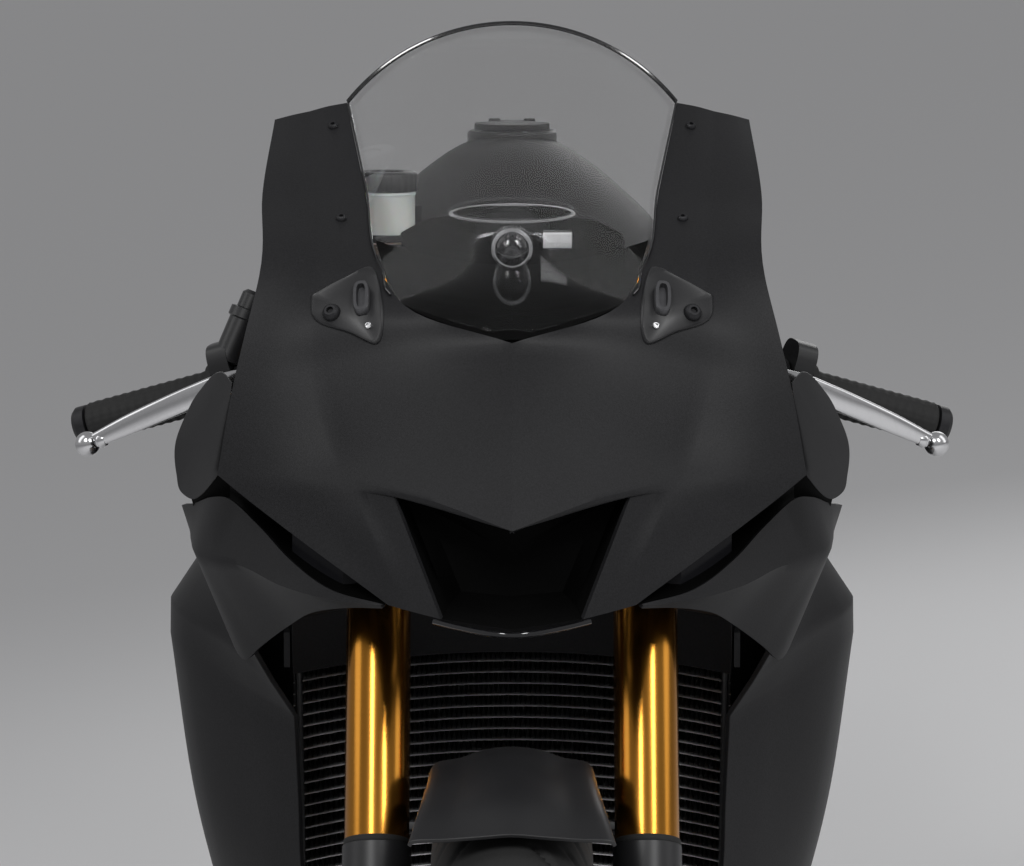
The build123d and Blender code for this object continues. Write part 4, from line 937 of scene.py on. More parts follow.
class SPORTBIKE_OT_fairings(bpy.types.Operator):
    """Makes the side fairings, the shoulder panels and the belly pan"""

    bl_idname = "sportbike.fairings"
    bl_label = "Fairings"

    def execute(self, context):
        settings = context.scene.sportbike_body
        wall = settings.panel_wall * MM
        arm = sheet(ARM_ROWS, 8, 8, None, [False, True, False])
        part = both_sides(grid_part(arm, inside=(0, -400, 700)))
        piece(
            "upper_fairings", part, "chassis", "matte_black", wall, ["fairing_arms"], 45, 0.8
        )
        net = [[(x, y, z) for x, z in points] for y, *points in PANEL_ROWS]
        corners = [False, True, True, False, False, False]
        panel = sheet(net, 10, 6, None, corners)
        part = both_sides(grid_part(panel, inside=(0, -300, 500)))
        piece(
            "lower_fairings", part, "chassis", "matte_black", wall, ["side_panels"], 45, 0.8
        )
        shoulder = fan_part(SHOULDER_OUTLINE, SHOULDER_FACE, 2.5, inside=(200, -300, 820))
        piece(
            "shoulder_panels", both_sides(shoulder), "chassis", "satin_black", 3.0,
            ["shoulders"], 40, 0.6,
        )
        self.belly(wall)
        self.fasteners(panel, settings)
        return {"FINISHED"}

    def belly(self, wall):
        """Trough under the engine, round at its keel edges."""
        net = []
        for y, top, z_top, floor, z_floor in BELLY_ROWS:
            half = [
                (top, y, z_top), ((top + floor) / 2 + 6, y, (z_top + z_floor) / 2),
                (floor + 6, y, z_floor + 14),
            ]
            half += [(floor - 8, y, z_floor)]
            net.append(half + [(0, y, z_floor - 2)] + [(-x, y, z) for x, y, z in reversed(half)])
        grid = sheet(net, 8, 6)
        piece(
            "belly_skin", grid_part(grid, inside=(0, -100, 330)), "chassis", "matte_black",
            wall, ["belly_pan"], 45, 0.8,
        )

    def fasteners(self, panel, settings):
        """Quarter-turn fasteners along the lower fairings."""
        # Columns: row and column of the panel's grid
        places = [(26, 27), (38, 27), (30, 15)]
        points = np.array([panel[row, column] for row, column in places])
        normals = unit(np.cross(np.gradient(panel, axis=1), np.gradient(panel, axis=0)))
        normals = np.array([normals[row, column] for row, column in places])
        normals *= np.sign(normals[:, :1])
        screws = copies(screw_part(settings.screw_radius * MM * 1.5, 2.4), facing_frames(points, normals))
        piece("fairing_fasteners", both_sides(screws), "chassis", "cast_black")


# Steering frame: up the fork legs, back from them, and out along the left handlebar
RAKE = radians(24)
FORK_UP = np.array([0, sin(RAKE), cos(RAKE)])
FORK_BACK = np.array([0, cos(RAKE), -sin(RAKE)])
FORK_HALF = 103.5
SLIDER_RADIUS = 21.5
# Guard round each slider: its radius, and how far it reaches round to each side
SHIELD_RADIUS, SHIELD_REACH = 26.5, 110
TUBE_BOTTOM, TUBE_TOP, LUG_TOP = 248.0, 694.0, 120.0
CLIP_ON_MIDDLE = 651.0
BAR_OUT = unit((220, 65, -66))
BAR_FORWARD = unit(np.array([0, -1, 0]) + BAR_OUT * BAR_OUT[1])
BAR_UP = np.cross(BAR_FORWARD, BAR_OUT)
GRIP_START, GRIP_END, GRIP_RADIUS = 140.0, 255.0, 16.5
# Mudguard: angle forward from straight up, half width, then radius of crown, shoulder and edge
GUARD_ROWS = [
    (-55, 58, 314, 309, 294),
    (-38, 62, 316, 309, 286),
    (-12, 63, 317, 309, 282),
    (6, 65, 317, 309, 286),
    (17, 70, 316, 309, 296),
    (25, 75, 314, 310, 304),
]


def fork_point(height, side=1.0):
    """Point on a fork leg's axis at a height from the axle."""
    return front_axle + FORK_UP * height + np.array([side * FORK_HALF, 0, 0])


def bar_point(along, forward=0.0, up=0.0):
    """Point by the left handlebar: along it from the fork leg, forward of it and above it."""
    return fork_point(CLIP_ON_MIDDLE) + BAR_OUT * along + BAR_FORWARD * forward + BAR_UP * up


def ribbed(profile, origin, axis, sides, ribs, depth):
    """Lathe whose radius ripples round its axis: r (1 + depth cos(ribs angle)) where the row asks for it.
    Columns of the profile: along, radius, share of the ripple."""
    first, second, axis = upright(axis)
    profile = np.asarray(profile, float)
    turn = np.linspace(0, 2 * np.pi, sides, endpoint=False)
    radius = profile[:, 1:2] + depth * profile[:, 2:] * np.cos(ribs * turn)
    ring = np.cos(turn)[:, None] * first + np.sin(turn)[:, None] * second
    grid = np.asarray(origin, float) + profile[:, :1, None] * axis + radius[..., None] * ring
    return grid_part(grid, wrap=True, cap=True)


class SPORTBIKE_OT_front_end(bpy.types.Operator):
    """Makes the mudguard and the fork's sleeves, shields, seals and caps"""

    bl_idname = "sportbike.front_end"
    bl_label = "Front end"

    def execute(self, context):
        self.mudguard()
        sleeves, seals, caps, adjusters = [], [], [], []
        for side in (1, -1):
            low, high, top = (fork_point(height, side) for height in (LUG_TOP, TUBE_BOTTOM, TUBE_TOP))
            sleeves.append(
                lathe(
                    [(0, SLIDER_RADIUS + 0.3), (TUBE_BOTTOM - LUG_TOP, SLIDER_RADIUS + 0.3)], low, FORK_UP, 48
                )
            )
            seal = [(-6, 22.2), (-5, 24), (-1, 25.4), (0, 25.8), (3, 25.8), (4, 25.2)]
            seals.append(lathe(seal, high, FORK_UP, 48))
            cap = [(0.2, 25.2), (4, 25.2), (6, 23.5), (6, 17)]
            caps.append(lathe(cap, top, FORK_UP, 48))
            adjusters.append(lathe([(6, 9), (13, 9), (14, 8), (14, 3), (11, 2.6)], top, FORK_UP, 24))
        piece("slider_sleeves", joined(*sleeves), "fork", "polished")
        piece("fork_seals", joined(*seals), "fork", "rubber")
        piece("fork_caps", joined(*caps), "fork", "gold")
        piece("fork_adjusters", joined(*adjusters), "fork", "polished")
        return {"FINISHED"}

    def mudguard(self):
        """Arched guard in the wheel's polar frame: axle + (x, -r sin a, r cos a), and its struts."""
        net = []
        for angle, half, crown, shoulder, edge in GUARD_ROWS:
            out = np.array([0, -sin(radians(angle)), cos(radians(angle))])
            sides = [
                (half, edge), (half * 0.96, edge + (shoulder - edge) * 0.7), (half * 0.6, shoulder),
                (half * 0.3, crown - 2),
            ]
            row = sides + [(0, crown)] + [(-x, r) for x, r in reversed(sides)]
            net.append([front_axle + (x, 0, 0) + out * r for x, r in row])
        corners = [False, False, True, False, False, False, True, False, False]
        grid = sheet(net, 10, 5, None, corners)
        guard = grid_part(grid, inside=front_axle)
        piece("front_guard", guard, "fork", "satin_black", 3.2, ["front_mudguard"], 50, 0.8)
        height = np.linspace(LUG_TOP - 8, TUBE_BOTTOM - 1, 9)[:, None]
        turn = np.radians(np.linspace(-SHIELD_REACH, SHIELD_REACH, 31))[None]
        shield = front_axle + (FORK_HALF, 0, 0) + height[..., None] * FORK_UP
        shield = shield + SHIELD_RADIUS * (
            np.sin(turn)[..., None] * (1, 0, 0) - np.cos(turn)[..., None] * FORK_BACK
        )
        shield = grid_part(shield, inside=fork_point(200))
        piece("slider_shields", both_sides(shield), "fork", "satin_black", 2.0, edge=0.5)
        struts = []
        for height, reach in ((198, 14), (224, 16), (262, 15)):
            at = fork_point(height) - (FORK_HALF, 0, 0)
            path = [
                at + (66, 0, 0), at + (FORK_HALF - SLIDER_RADIUS - 3 * (height > TUBE_BOTTOM) - 0.5, 0, 0)
            ]
            struts.append(sweep(np.linspace(*path, 5), ellipse(reach, 9, 16, 4), FORK_BACK))
        piece("guard_struts", both_sides(joined(*struts)), "fork", "satin_black")


class SPORTBIKE_OT_controls(bpy.types.Operator):
    """Makes the grips, the levers with their perches, and the switch pods"""

    bl_idname = "sportbike.controls"
    bl_label = "Controls"

    def execute(self, context):
        settings = context.scene.sportbike_controls
        grip = self.grip(settings)
        piece("ribbed_grips", both_sides(grip), "fork", "rubber", replaces=["grips"], crease=50)
        weight = lathe(
            [(0, 9), (1, 15.4), (9, 15.4), (12, 13), (12, 6), (9, 5)], bar_point(GRIP_END + 1), BAR_OUT, 40
        )
        piece("bar_weights", both_sides(weight), "fork", "cast_black")
        for name, node, mirror in (("clutch", "clutch_control", False), ("brake", "brake_control", True)):
            blade, perch, pivot = self.lever(settings)
            turn = mirrored if mirror else joined
            piece(name + "_lever", turn(blade), "fork", "polished", replaces=[node], crease=45)
            piece(name + "_perch", turn(perch), "fork", "satin_black", crease=45)
            piece(name + "_pivot", turn(pivot), "fork", "steel")
        self.pods()
        return {"FINISHED"}

    def grip(self, settings):
        """Moulded grip: a flange, then rings whose radius ripples along and round the bar."""
        along = np.linspace(GRIP_START + 8, GRIP_END - 2, 90)
        wave = 0.3 * np.sin((along - GRIP_START) * 2 * np.pi / settings.rib_pitch / MM)
        body = np.stack([along, GRIP_RADIUS - 0.6 + wave, np.ones_like(along) * 0.5], 1)
        start = [
            (GRIP_START, 13, 0), (GRIP_START, 20.5, 0), (GRIP_START + 5, 20.5, 0), (GRIP_START + 7, 17, 0)
        ]
        end = [(GRIP_END, GRIP_RADIUS - 2, 0), (GRIP_END, 12, 0)]
        profile = np.concatenate([start, body, end])
        return ribbed(profile, bar_point(0), BAR_OUT, 60, 20, 0.5)

    def lever(self, settings):
        """Blade swept from its pivot to the ball at its tip, its perch and its pivot bolt."""
        # Columns: along, forward, up, then the blade's height and thickness
        stations = np.array([
            (98, 34, 6, 16, 14),
            (118, 49, 6, 20, 11),
            (145, 54, 4, 19, 9),
            (170, 56, 1, 18, 9),
            (205, 55, -4, 16, 9),
            (236, 54, -9, 12, 9),
        ], float)
        knots = stations[:, 0]
        at = between(knots, 6)
        values = through(knots, stations, at)
        path = np.array([bar_point(*p) for p in values[:, :3]])
        base = ellipse(1, 1, 20, 3.0)
        profile = base[None] * values[:, None, 3:]
        run = unit(np.gradient(path, axis=0))
        side = unit(np.cross(np.broadcast_to(BAR_UP, run.shape), run))
        grid = path[:, None] + profile[..., :1] * BAR_UP + profile[..., 1:] * side[:, None]
        ball_at = bar_point(242, 54, -10)
        blade = grid_part(grid, inside=path[len(path) // 2], wrap=True, cap=True)
        turn = np.linspace(0.25, np.pi, 16)
        ball = np.stack(
            [-settings.ball * MM * np.cos(turn), np.maximum(settings.ball * MM * np.sin(turn), 0.05)], 1
        )
        neck = [(-16, 5.2), (-12, 6.4), (-10, 5.6)]
        tip = lathe(np.concatenate([neck, ball]), ball_at, BAR_OUT, 28)
        ring = [(96, 18.5), (97, 19.2), (119, 19.2), (120, 18.5)]
        clamp = lathe(ring, bar_point(0), BAR_OUT, 40)
        arm = sweep([bar_point(108, f, 0) for f in np.linspace(14, 42, 8)], ellipse(22, 17, 24, 4), BAR_UP)
        bolt = lathe([(-11, 5), (-10.5, 6), (10.5, 6), (11.5, 5)], bar_point(104, 36, 0), BAR_UP, 20)
        return joined(blade, tip), joined(clamp, arm), bolt

    def pods(self):
        """Switch pods inboard of the grips, and the master cylinder on the right."""
        left = sweep(
            [bar_point(a, 0, 9) for a in np.linspace(121, 138, 6)], ellipse(40, 54, 32, 3.4), BAR_FORWARD
        )
        switches = [
            lathe([(0, 4), (5, 4), (6, 3.2)], bar_point(130, -18, 9 + 12 * k), -BAR_FORWARD, 16)
            for k in (-1, 0, 1)
        ]
        foot, head = np.array([228, -396, 878]), np.array([204, -388, 934])
        long = np.linalg.norm(head - foot)
        profile = [
            (0, 8), (2, 12), (long * 0.6, 12), (long * 0.62, 14), (long * 0.74, 14), (long * 0.76, 10),
            (long - 3, 10), (long, 7),
        ]
        pods = joined(left, mirrored(left), mirrored(lathe(profile, foot, head - foot, 28)))
        piece("switch_pods", pods, "fork", "satin_black")
        piece("switch_buttons", both_sides(joined(*switches)), "fork", "rubber")


# Cockpit
RESERVOIR_AT = np.array([-101, -348, 970])
RESERVOIR_RADIUS, RESERVOIR_HEIGHT = 23.0, 42.0
DIAL_AT = np.array([0, -487, 1004])
# Rim of the dial: half width, half depth and tilt
DIAL_HALF, DIAL_DEPTH, DIAL_TILT = 47, 15, radians(22)
DOME_AT, DOME_AXIS = (0, -503, 978), (0, -1, 0.12)


class SPORTBIKE_OT_cockpit(bpy.types.Operator):
    """Makes the instrument pod and the brake fluid reservoir"""

    bl_idname = "sportbike.cockpit"
    bl_label = "Cockpit"

    def execute(self, context):
        self.pod()
        self.reservoir()
        return {"FINISHED"}

    def pod(self):
        """Funnel under a tilted elliptical rim, with wings, a domed boss and a blank plate."""
        across, deep = np.array([1, 0, 0]), np.array([0, cos(DIAL_TILT), sin(DIAL_TILT)])
        turn = np.linspace(0, 2 * np.pi, 64, endpoint=False)
        ring = np.cos(turn)[:, None] * across * DIAL_HALF + np.sin(turn)[:, None] * deep * DIAL_DEPTH
        rows = []
        # Columns: share of the rim, drop
        for share, drop in (
            (0.3, 46), (0.5, 42), (0.62, 30), (0.8, 14), (0.97, 4), (1.0, 1), (0.98, -1), (0.9, -1),
            (0.86, 3), (0.05, 5),
        ):
            rows.append(DIAL_AT + ring * share - (0, 0, drop))
        funnel = grid_part(np.array(rows), inside=DIAL_AT - (0, 0, 20), wrap=True, cap=True)
        piece("dial_pod", funnel, "chassis", "deep_black", replaces=["dash"], crease=40)
        rim = np.concatenate([ring, ring[:1]]) * 1.005 + DIAL_AT
        bezel = sweep(rim, ellipse(2.6, 3.4, 10), (0, 0, 1), cap=False)
        piece("dial_bezel", bezel, "chassis", "polished")
        # Columns: x, then y and z of the wing's top and foot
        net = [
            [(x, -492, top), (x, -497, (top + foot) / 2 + 2), (x * 0.9, -496, foot)]
            for x, top, foot in (
                (-86, 990, 975), (-66, 1000, 968), (-30, 1001, 952), (0, 1001, 950), (30, 1001, 952),
                (66, 999, 968), (86, 988, 974),
            )
        ]
        wings = grid_part(sheet(net, 6, 6), inside=(0, -300, 975))
        piece("dial_wings", wings, "chassis", "deep_black", 14.0, crease=40)
        dome = [(0, 14), (3, 13.6), (6.5, 11.5), (9, 7.5), (10, 3.4), (10.3, 0.3)]
        piece("dial_dome", lathe(dome, DOME_AT, DOME_AXIS, 40), "chassis", "gloss_black")
        collar = [(-2, 14.2), (0.5, 16), (2.6, 16), (3.6, 14.4)]
        piece("dome_collar", lathe(collar, DOME_AT, DOME_AXIS, 40), "chassis", "polished")
        plate = sweep(
            [(24 + 22 * k, -506, 985) for k in np.linspace(0, 1, 4)], ellipse(1.6, 12, 24, 6), (0, -1, 0)
        )
        piece("blank_plate", plate, "chassis", "lit_bare_alloy")

    def reservoir(self):
        """Milky cup on a post, its ribbed lid and the band at its foot."""
        cup = [
            (0, 17), (2, 21), (5, RESERVOIR_RADIUS), (38, RESERVOIR_RADIUS), (40, RESERVOIR_RADIUS + 1),
            (RESERVOIR_HEIGHT, RESERVOIR_RADIUS),
        ]
        body = lathe(cup, RESERVOIR_AT, (0, 0, 1), 48)
        # The cup's raised white is partly painted light
        piece("fluid_cup", body, "fork", "lit_milky", replaces=["brake_reservoir"])
        lid = [
            (0, 24, 0), (1, 25, 1), (13, 25, 1), (15, 24, 0.5), (16, 22, 0), (16, 14, 0), (14.5, 13, 0),
            (14.5, 0.5, 0),
        ]
        top = ribbed(lid, RESERVOIR_AT + (0, 0, RESERVOIR_HEIGHT), (0, 0, 1), 96, 24, 0.5)
        piece("fluid_lid", top, "fork", "satin_black", crease=45)
        foot = fork_point(690, -1) + (27, 8, 0)
        post = sweep(
            smooth_path(
                [foot, foot + (4, 4, 40), RESERVOIR_AT + (22, 10, 10), RESERVOIR_AT + (22, 8, 30)], 6
            ),
            ellipse(12, 5, 16, 4), (1, 0, 0),
        )
        piece("cup_post", post, "fork", "cast_black")
        band = lathe(
            [
                (2, 20.0), (2, RESERVOIR_RADIUS + 1.4), (8, RESERVOIR_RADIUS + 1.4),
                (8, RESERVOIR_RADIUS + 0.2),
            ],
            RESERVOIR_AT, (0, 0, 1), 48, False,
        )
        piece("cup_band", band, "fork", "cast_black")


# Radiator core: its top and bottom middle, half width, forward sweep of its sides and depth
CORE_TOP, CORE_BOTTOM = np.array([0, -405, 690.0]), np.array([0, -341, 438.0])
CORE_HALF, CORE_SWEEP, CORE_DEPTH = 174.0, 44.0, 25.0
CORE_RUN = unit(CORE_BOTTOM - CORE_TOP)
CORE_FORWARD = np.cross(CORE_RUN, (1.0, 0, 0))
CORE_HEIGHT = np.linalg.norm(CORE_BOTTOM - CORE_TOP)


def core_points(x, drop, ahead):
    """Points of the curved core: top + drop down it + (R - sqrt(R^2 - x^2) + ahead) forward, x across."""
    radius = (CORE_HALF**2 + CORE_SWEEP**2) / (2 * CORE_SWEEP)
    x, drop, ahead = (value[..., None] for value in np.broadcast_arrays(x, drop, ahead))
    forward = radius - np.sqrt(radius**2 - x**2) + ahead
    return CORE_TOP + x * (1, 0, 0) + drop * CORE_RUN + forward * CORE_FORWARD


class SPORTBIKE_OT_radiator(bpy.types.Operator):
    """Makes the radiator's tubes, folded fins and tanks, and the dark panels round it; the fins' dark colour and
    the band over the core's top are painted shade, and the tubes' raised colour is partly painted light
    """

    bl_idname = "sportbike.radiator"
    bl_label = "Radiator"

    def execute(self, context):
        settings = context.scene.sportbike_radiator
        pitch = CORE_HEIGHT / settings.tubes
        drops = (np.arange(settings.tubes) + 0.5) * pitch
        x = np.linspace(-CORE_HALF, CORE_HALF, 49)
        nose = ellipse(CORE_DEPTH - 1, settings.tube_height * MM, 14, 4)
        tubes = [
            grid_part(
                core_points(x[:, None], drop + nose[:, 1], nose[:, 0] - CORE_DEPTH / 2),
                inside=core_points(np.array(0.0), drop, -CORE_DEPTH / 2),
                wrap=True,
                cap=True,
            )
            for drop in drops
        ]
        # The tubes' bright alloy is partly painted light, raised against their shade
        piece("core_tubes", joined(*tubes), "chassis", "lit_bare_alloy", replaces=["radiator"])
        # The fins' dark alloy is painted shade
        piece("core_fins", self.fins(settings, pitch, drops), "chassis", "shaded_fin_alloy")
        self.frame_and_shrouds()
        return {"FINISHED"}

    def fins(self, settings, pitch, drops):
        """Folded fins: between two tubes the strip's height zigzags along x, and it runs back through the
        core."""
        x = np.linspace(-CORE_HALF, CORE_HALF, settings.folds * 2)
        swing = (pitch - settings.tube_height * MM) / 2 - 0.1
        zigzag = swing * np.where(np.arange(len(x)) % 2, 1.0, -1.0)
        ahead = np.array([-1.5, -CORE_DEPTH + 2])
        gaps = (drops[:-1] + drops[1:]) / 2
        strips = [grid_part(core_points(x[None], gap + zigzag[None], ahead[:, None])) for gap in gaps]
        return joined(*strips)

    def frame_and_shrouds(self):
        """Tanks down both sides, rails above and below, a back plate, a band of painted shade over the core's top
        rows, the plates behind the shoulders and the side shrouds."""
        down = np.linspace(-3, CORE_HEIGHT + 3, 24)
        bars = [
            sweep(
                core_points(np.array(side * (CORE_HALF - 3)), down, -CORE_DEPTH / 2),
                ellipse(9, CORE_DEPTH + 1, 20, 5), (1, 0, 0),
            )
            for side in (1, -1)
        ]
        x = np.linspace(-CORE_HALF, CORE_HALF, 33)
        bars += [
            sweep(core_points(x, drop, -CORE_DEPTH / 2), ellipse(CORE_DEPTH + 1, 7, 20, 5), CORE_FORWARD)
            for drop in (0.0, CORE_HEIGHT)
        ]
        piece("core_frame", joined(*bars), "chassis", "satin_black")
        back = core_points(x[None], np.linspace(0, CORE_HEIGHT, 9)[:, None], -CORE_DEPTH + 0.5)
        piece(
            "core_back", grid_part(back, inside=(0, -200, 560)), "chassis", "satin_black",
            1.5,
        )
        # Painted shade: a dark band laid over the core's top rows, where the top of the core lies in shadow
        shade_band = core_points(x[None], np.linspace(-2, 46, 6)[:, None], 3.0)
        piece(
            "core_shade_band", grid_part(shade_band, inside=(0, -200, 650)), "chassis", "matte_black",
            2.0, edge=0.6,
        )
        # Columns: the shroud's inner edge on the tank, its outer edge by the fairing
        rows = [
            ((168, -446, 712), (238, -404, 745)),
            ((171, -444, 668), (240, -398, 690)),
            ((171, -430, 610), (241, -394, 640)),
            ((171, -412, 540), (226, -390, 545)),
            ((171, -394, 470), (212, -386, 470)),
            ((168, -382, 425), (186, -380, 405)),
        ]
        net = [
            [(196, -478, 814), (228, -470, 814), (256, -458, 808)],
            [(190, -474, 780), (224, -464, 780), (254, -440, 778)],
            [(184, -470, 742), (216, -458, 742), (246, -426, 746)],
        ]
        piece(
            "shoulder_backs", both_sides(grid_part(sheet(net, 4, 4), inside=(220, -300, 780))), "chassis",
            "deep_black", 2.0,
        )
        net = [[inner, (np.array(inner) + outer) / 2 + (0, 14, 0), outer] for inner, outer in rows]
        shroud = grid_part(sheet(net, 5, 6), inside=(200, -200, 560))
        piece("side_shrouds", both_sides(shroud), "chassis", "satin_black", 2.5)


# Tyres: axle, outer radius, crown radius, bead half width, rim seat, pitches of the tread
TYRES = {
    "front": (front_axle, 300.0, 60.0, 44.0, 217.0, 26),
    "rear": (rear_axle, 315.0, 95.0, 70.0, 217.0, 24),
}


# Disc buttons: number on each disc, radius of their circle and distance from the middle plane
BUTTON_COUNT, BUTTON_CIRCLE, BUTTON_SIDE = 10, 118, 66
# Chain: radii round the sprockets, y and z of the drive sprocket, distance from the middle plane
SMALL_LOOP, LARGE_LOOP = 38.0, 108.0
DRIVE_AT, CHAIN_SIDE = np.array([40.0, 405.0]), 105.0


class SPORTBIKE_OT_wheels(bpy.types.Operator):
    """Makes the treaded tyres, the disc buttons and the chain"""

    bl_idname = "sportbike.wheels"
    bl_label = "Wheels and chain"

    def execute(self, context):
        settings = context.scene.sportbike_wheels
        for name, tyre in TYRES.items():
            piece(
                name + "_tread", self.tyre(settings, *tyre), name + "_wheel", "rubber",
                replaces=[name + "_tyre"], crease=40,
            )
        self.discs()
        self.chain(settings)
        return {"FINISHED"}

    def tyre(self, settings, axle, outer, crown, bead, seat, pitches):
        """Torus of radius R and crown c: x = c sin a, r = R - c + c cos a, cut in by slanted grooves whose
        middle runs as angle = slant |a|, then drawn in to the bead."""
        turn = np.linspace(0, 2 * np.pi, settings.steps, endpoint=False)[:, None]
        reach = np.arccos(np.clip((seat + 3 - outer + crown) / crown, -0.35, 1))
        lean_angle = np.linspace(-reach, reach, 57)[None]
        share = np.abs(lean_angle) / reach
        phase = turn * pitches / (2 * np.pi) + 0.5 * (lean_angle > 0)
        pitch = 2 * np.pi * outer / pitches
        depth = np.zeros(np.broadcast_shapes(turn.shape, lean_angle.shape))
        # Columns: where the groove starts and ends over the crown, its slant, offset and half width
        for start, end, slant, offset, half in ((0.1, 0.66, 1.5, 0.0, 4.2), (0.34, 0.86, 1.1, 0.62, 3.4)):
            away = np.abs((phase - slant * share - offset + 0.5) % 1 - 0.5) * pitch
            ends = np.clip((share - start) / 0.04, 0, 1) * np.clip((end - share) / 0.08, 0, 1)
            depth = np.maximum(depth, ends * np.clip(1.6 - away / half * 1.2, 0, 1))
        radius = outer - crown + crown * np.cos(
            lean_angle
        ) - depth * settings.groove * MM * np.cos(lean_angle)
        side = crown * np.sin(lean_angle) * np.ones_like(radius)
        edge = np.array([bead, -bead])[:, None] * np.ones((1, settings.steps))
        side = np.hstack([edge[1][:, None], side, edge[0][:, None]])
        radius = np.hstack([np.full((settings.steps, 1), seat), radius, np.full((settings.steps, 1), seat)])
        grid = np.stack([side, -np.sin(turn) * radius, np.cos(turn) * radius], -1) + axle
        points, quads, ends = grid_part(grid.transpose(1, 0, 2), wrap=True)
        a, b, c, d = (points[quads[:, k]] for k in range(4))
        middle = (a + b + c + d) / 4
        spine = axle + unit((middle - axle) * (0, 1, 1)) * (outer - crown)
        if np.einsum("ij,ij->i", np.cross(c - a, d - b), middle - spine).sum() < 0:
            quads = quads[:, ::-1]
        return points, quads, ends

    def discs(self):
        """Floating buttons between each front disc and its carrier."""
        turn = np.arange(BUTTON_COUNT) * 2 * np.pi / BUTTON_COUNT + 0.2
        out = np.stack([0 * turn, -np.sin(turn), np.cos(turn)], 1)
        button = lathe([(-4.6, 3), (-4.6, 7), (4.6, 7), (4.6, 3)], (0, 0, 0), (0, 0, 1), 16)
        places = np.concatenate(
            [front_axle + out * BUTTON_CIRCLE + (side * BUTTON_SIDE, 0, 0) for side in (1, -1)]
        )
        frames = facing_frames(places, np.broadcast_to((1.0, 0, 0), places.shape))
        piece("disc_buttons", copies(button, frames), "front_wheel", "steel")

    def chain(self, settings):
        """Links round both sprockets: pins at even steps along two arcs and two tangents, with plates
        between them."""
        far = rear_axle[1:]
        span = far - DRIVE_AT
        length = np.hypot(*span)
        tilt = np.arctan2(span[1], span[0])
        open_angle = np.arccos((SMALL_LOOP - LARGE_LOOP) / length)
        arcs = []
        for middle, radius, first, last in (
            (DRIVE_AT, SMALL_LOOP, tilt + open_angle, tilt + 2 * np.pi - open_angle),
            (far, LARGE_LOOP, tilt - open_angle, tilt + open_angle),
        ):
            angle = np.linspace(first, last, 200)
            arcs.append(middle + radius * np.stack([np.cos(angle), np.sin(angle)], 1))
        loop = np.concatenate([arcs[0], arcs[1], arcs[0][:1]])
        knots = chords(loop)
        count = 2 * round(knots[-1] / settings.pitch / MM / 2)
        at = np.linspace(0, knots[-1], count, endpoint=False)
        pins = np.stack([np.interp(at, knots, loop[:, k]) for k in (0, 1)], 1)
        ahead = np.roll(pins, -1, 0)
        middle, run = (pins + ahead) / 2, unit(ahead - pins)
        step = np.linalg.norm(ahead - pins, axis=1).mean()
        turn = np.linspace(0, 2 * np.pi, 20, endpoint=False)
        waist = 5.8 - 1.3 * np.exp(-((np.cos(turn) / 0.42) ** 2))
        outline = np.stack([np.cos(turn) * (step / 2 + 5.4), np.sin(turn) * waist], 1)
        frames = np.stack(
            [
                np.column_stack([np.full(count, CHAIN_SIDE), middle]),
                np.column_stack([np.zeros(count), run]),
                np.column_stack([np.zeros(count), -run[:, 1], run[:, 0]]),
                np.broadcast_to((1.0, 0, 0), (count, 3)),
            ],
            1,
        )
        links = []
        for start, reach in ((0, 5.2), (1, 7.0)):
            for side in (1, -1):
                low, high = sorted((side * reach, side * (reach - 1.6)))
                slab = np.stack([np.column_stack([outline, np.full(20, depth)]) for depth in (low, high)])
                links.append(
                    copies(
                        grid_part(slab, inside=(0, 0, (low + high) / 2), wrap=True, cap=True),
                        frames[start::2],
                    )
                )
        piece("chain_plates", joined(*links), "chassis", "steel", replaces=["drive_chain"])
        roller = lathe(
            [
                (-7.4, 2.4), (-7.2, 2.6), (-3.4, 2.6), (-3.4, 4.6), (3.4, 4.6), (3.4, 2.6), (7.2, 2.6),
                (7.4, 2.4),
            ],
            (0, 0, 0), (0, 0, 1), 10,
        )
        frames[:, 0, 1:] = pins
        piece("chain_rollers", copies(roller, frames), "chassis", "ground_steel")


# Tank stations: y, half width low, half width at the shoulder, shoulder z, crown z
TANK_ROWS = [
    (-318, 30, 56, 925, 962),
    (-240, 66, 112, 925, 1020),
    (-150, 92, 140, 925, 1046),
    (-30, 92, 140, 912, 1025),
    (60, 80, 104, 880, 950),
    (120, 66, 80, 840, 880),
]
TANK_FLOOR = 790.0
# Bell of the tank's top: share of the half width, share of the rise from the shoulder to the crown
TANK_BELL = [(1, 0), (0.955, 0.16), (0.83, 0.4), (0.66, 0.6), (0.5, 0.76), (0.3, 0.915), (0.14, 0.98), (0, 1)]
FILLER_AT = np.array([0, -120, 1048.0])
FILLER_RADIUS = 38.0


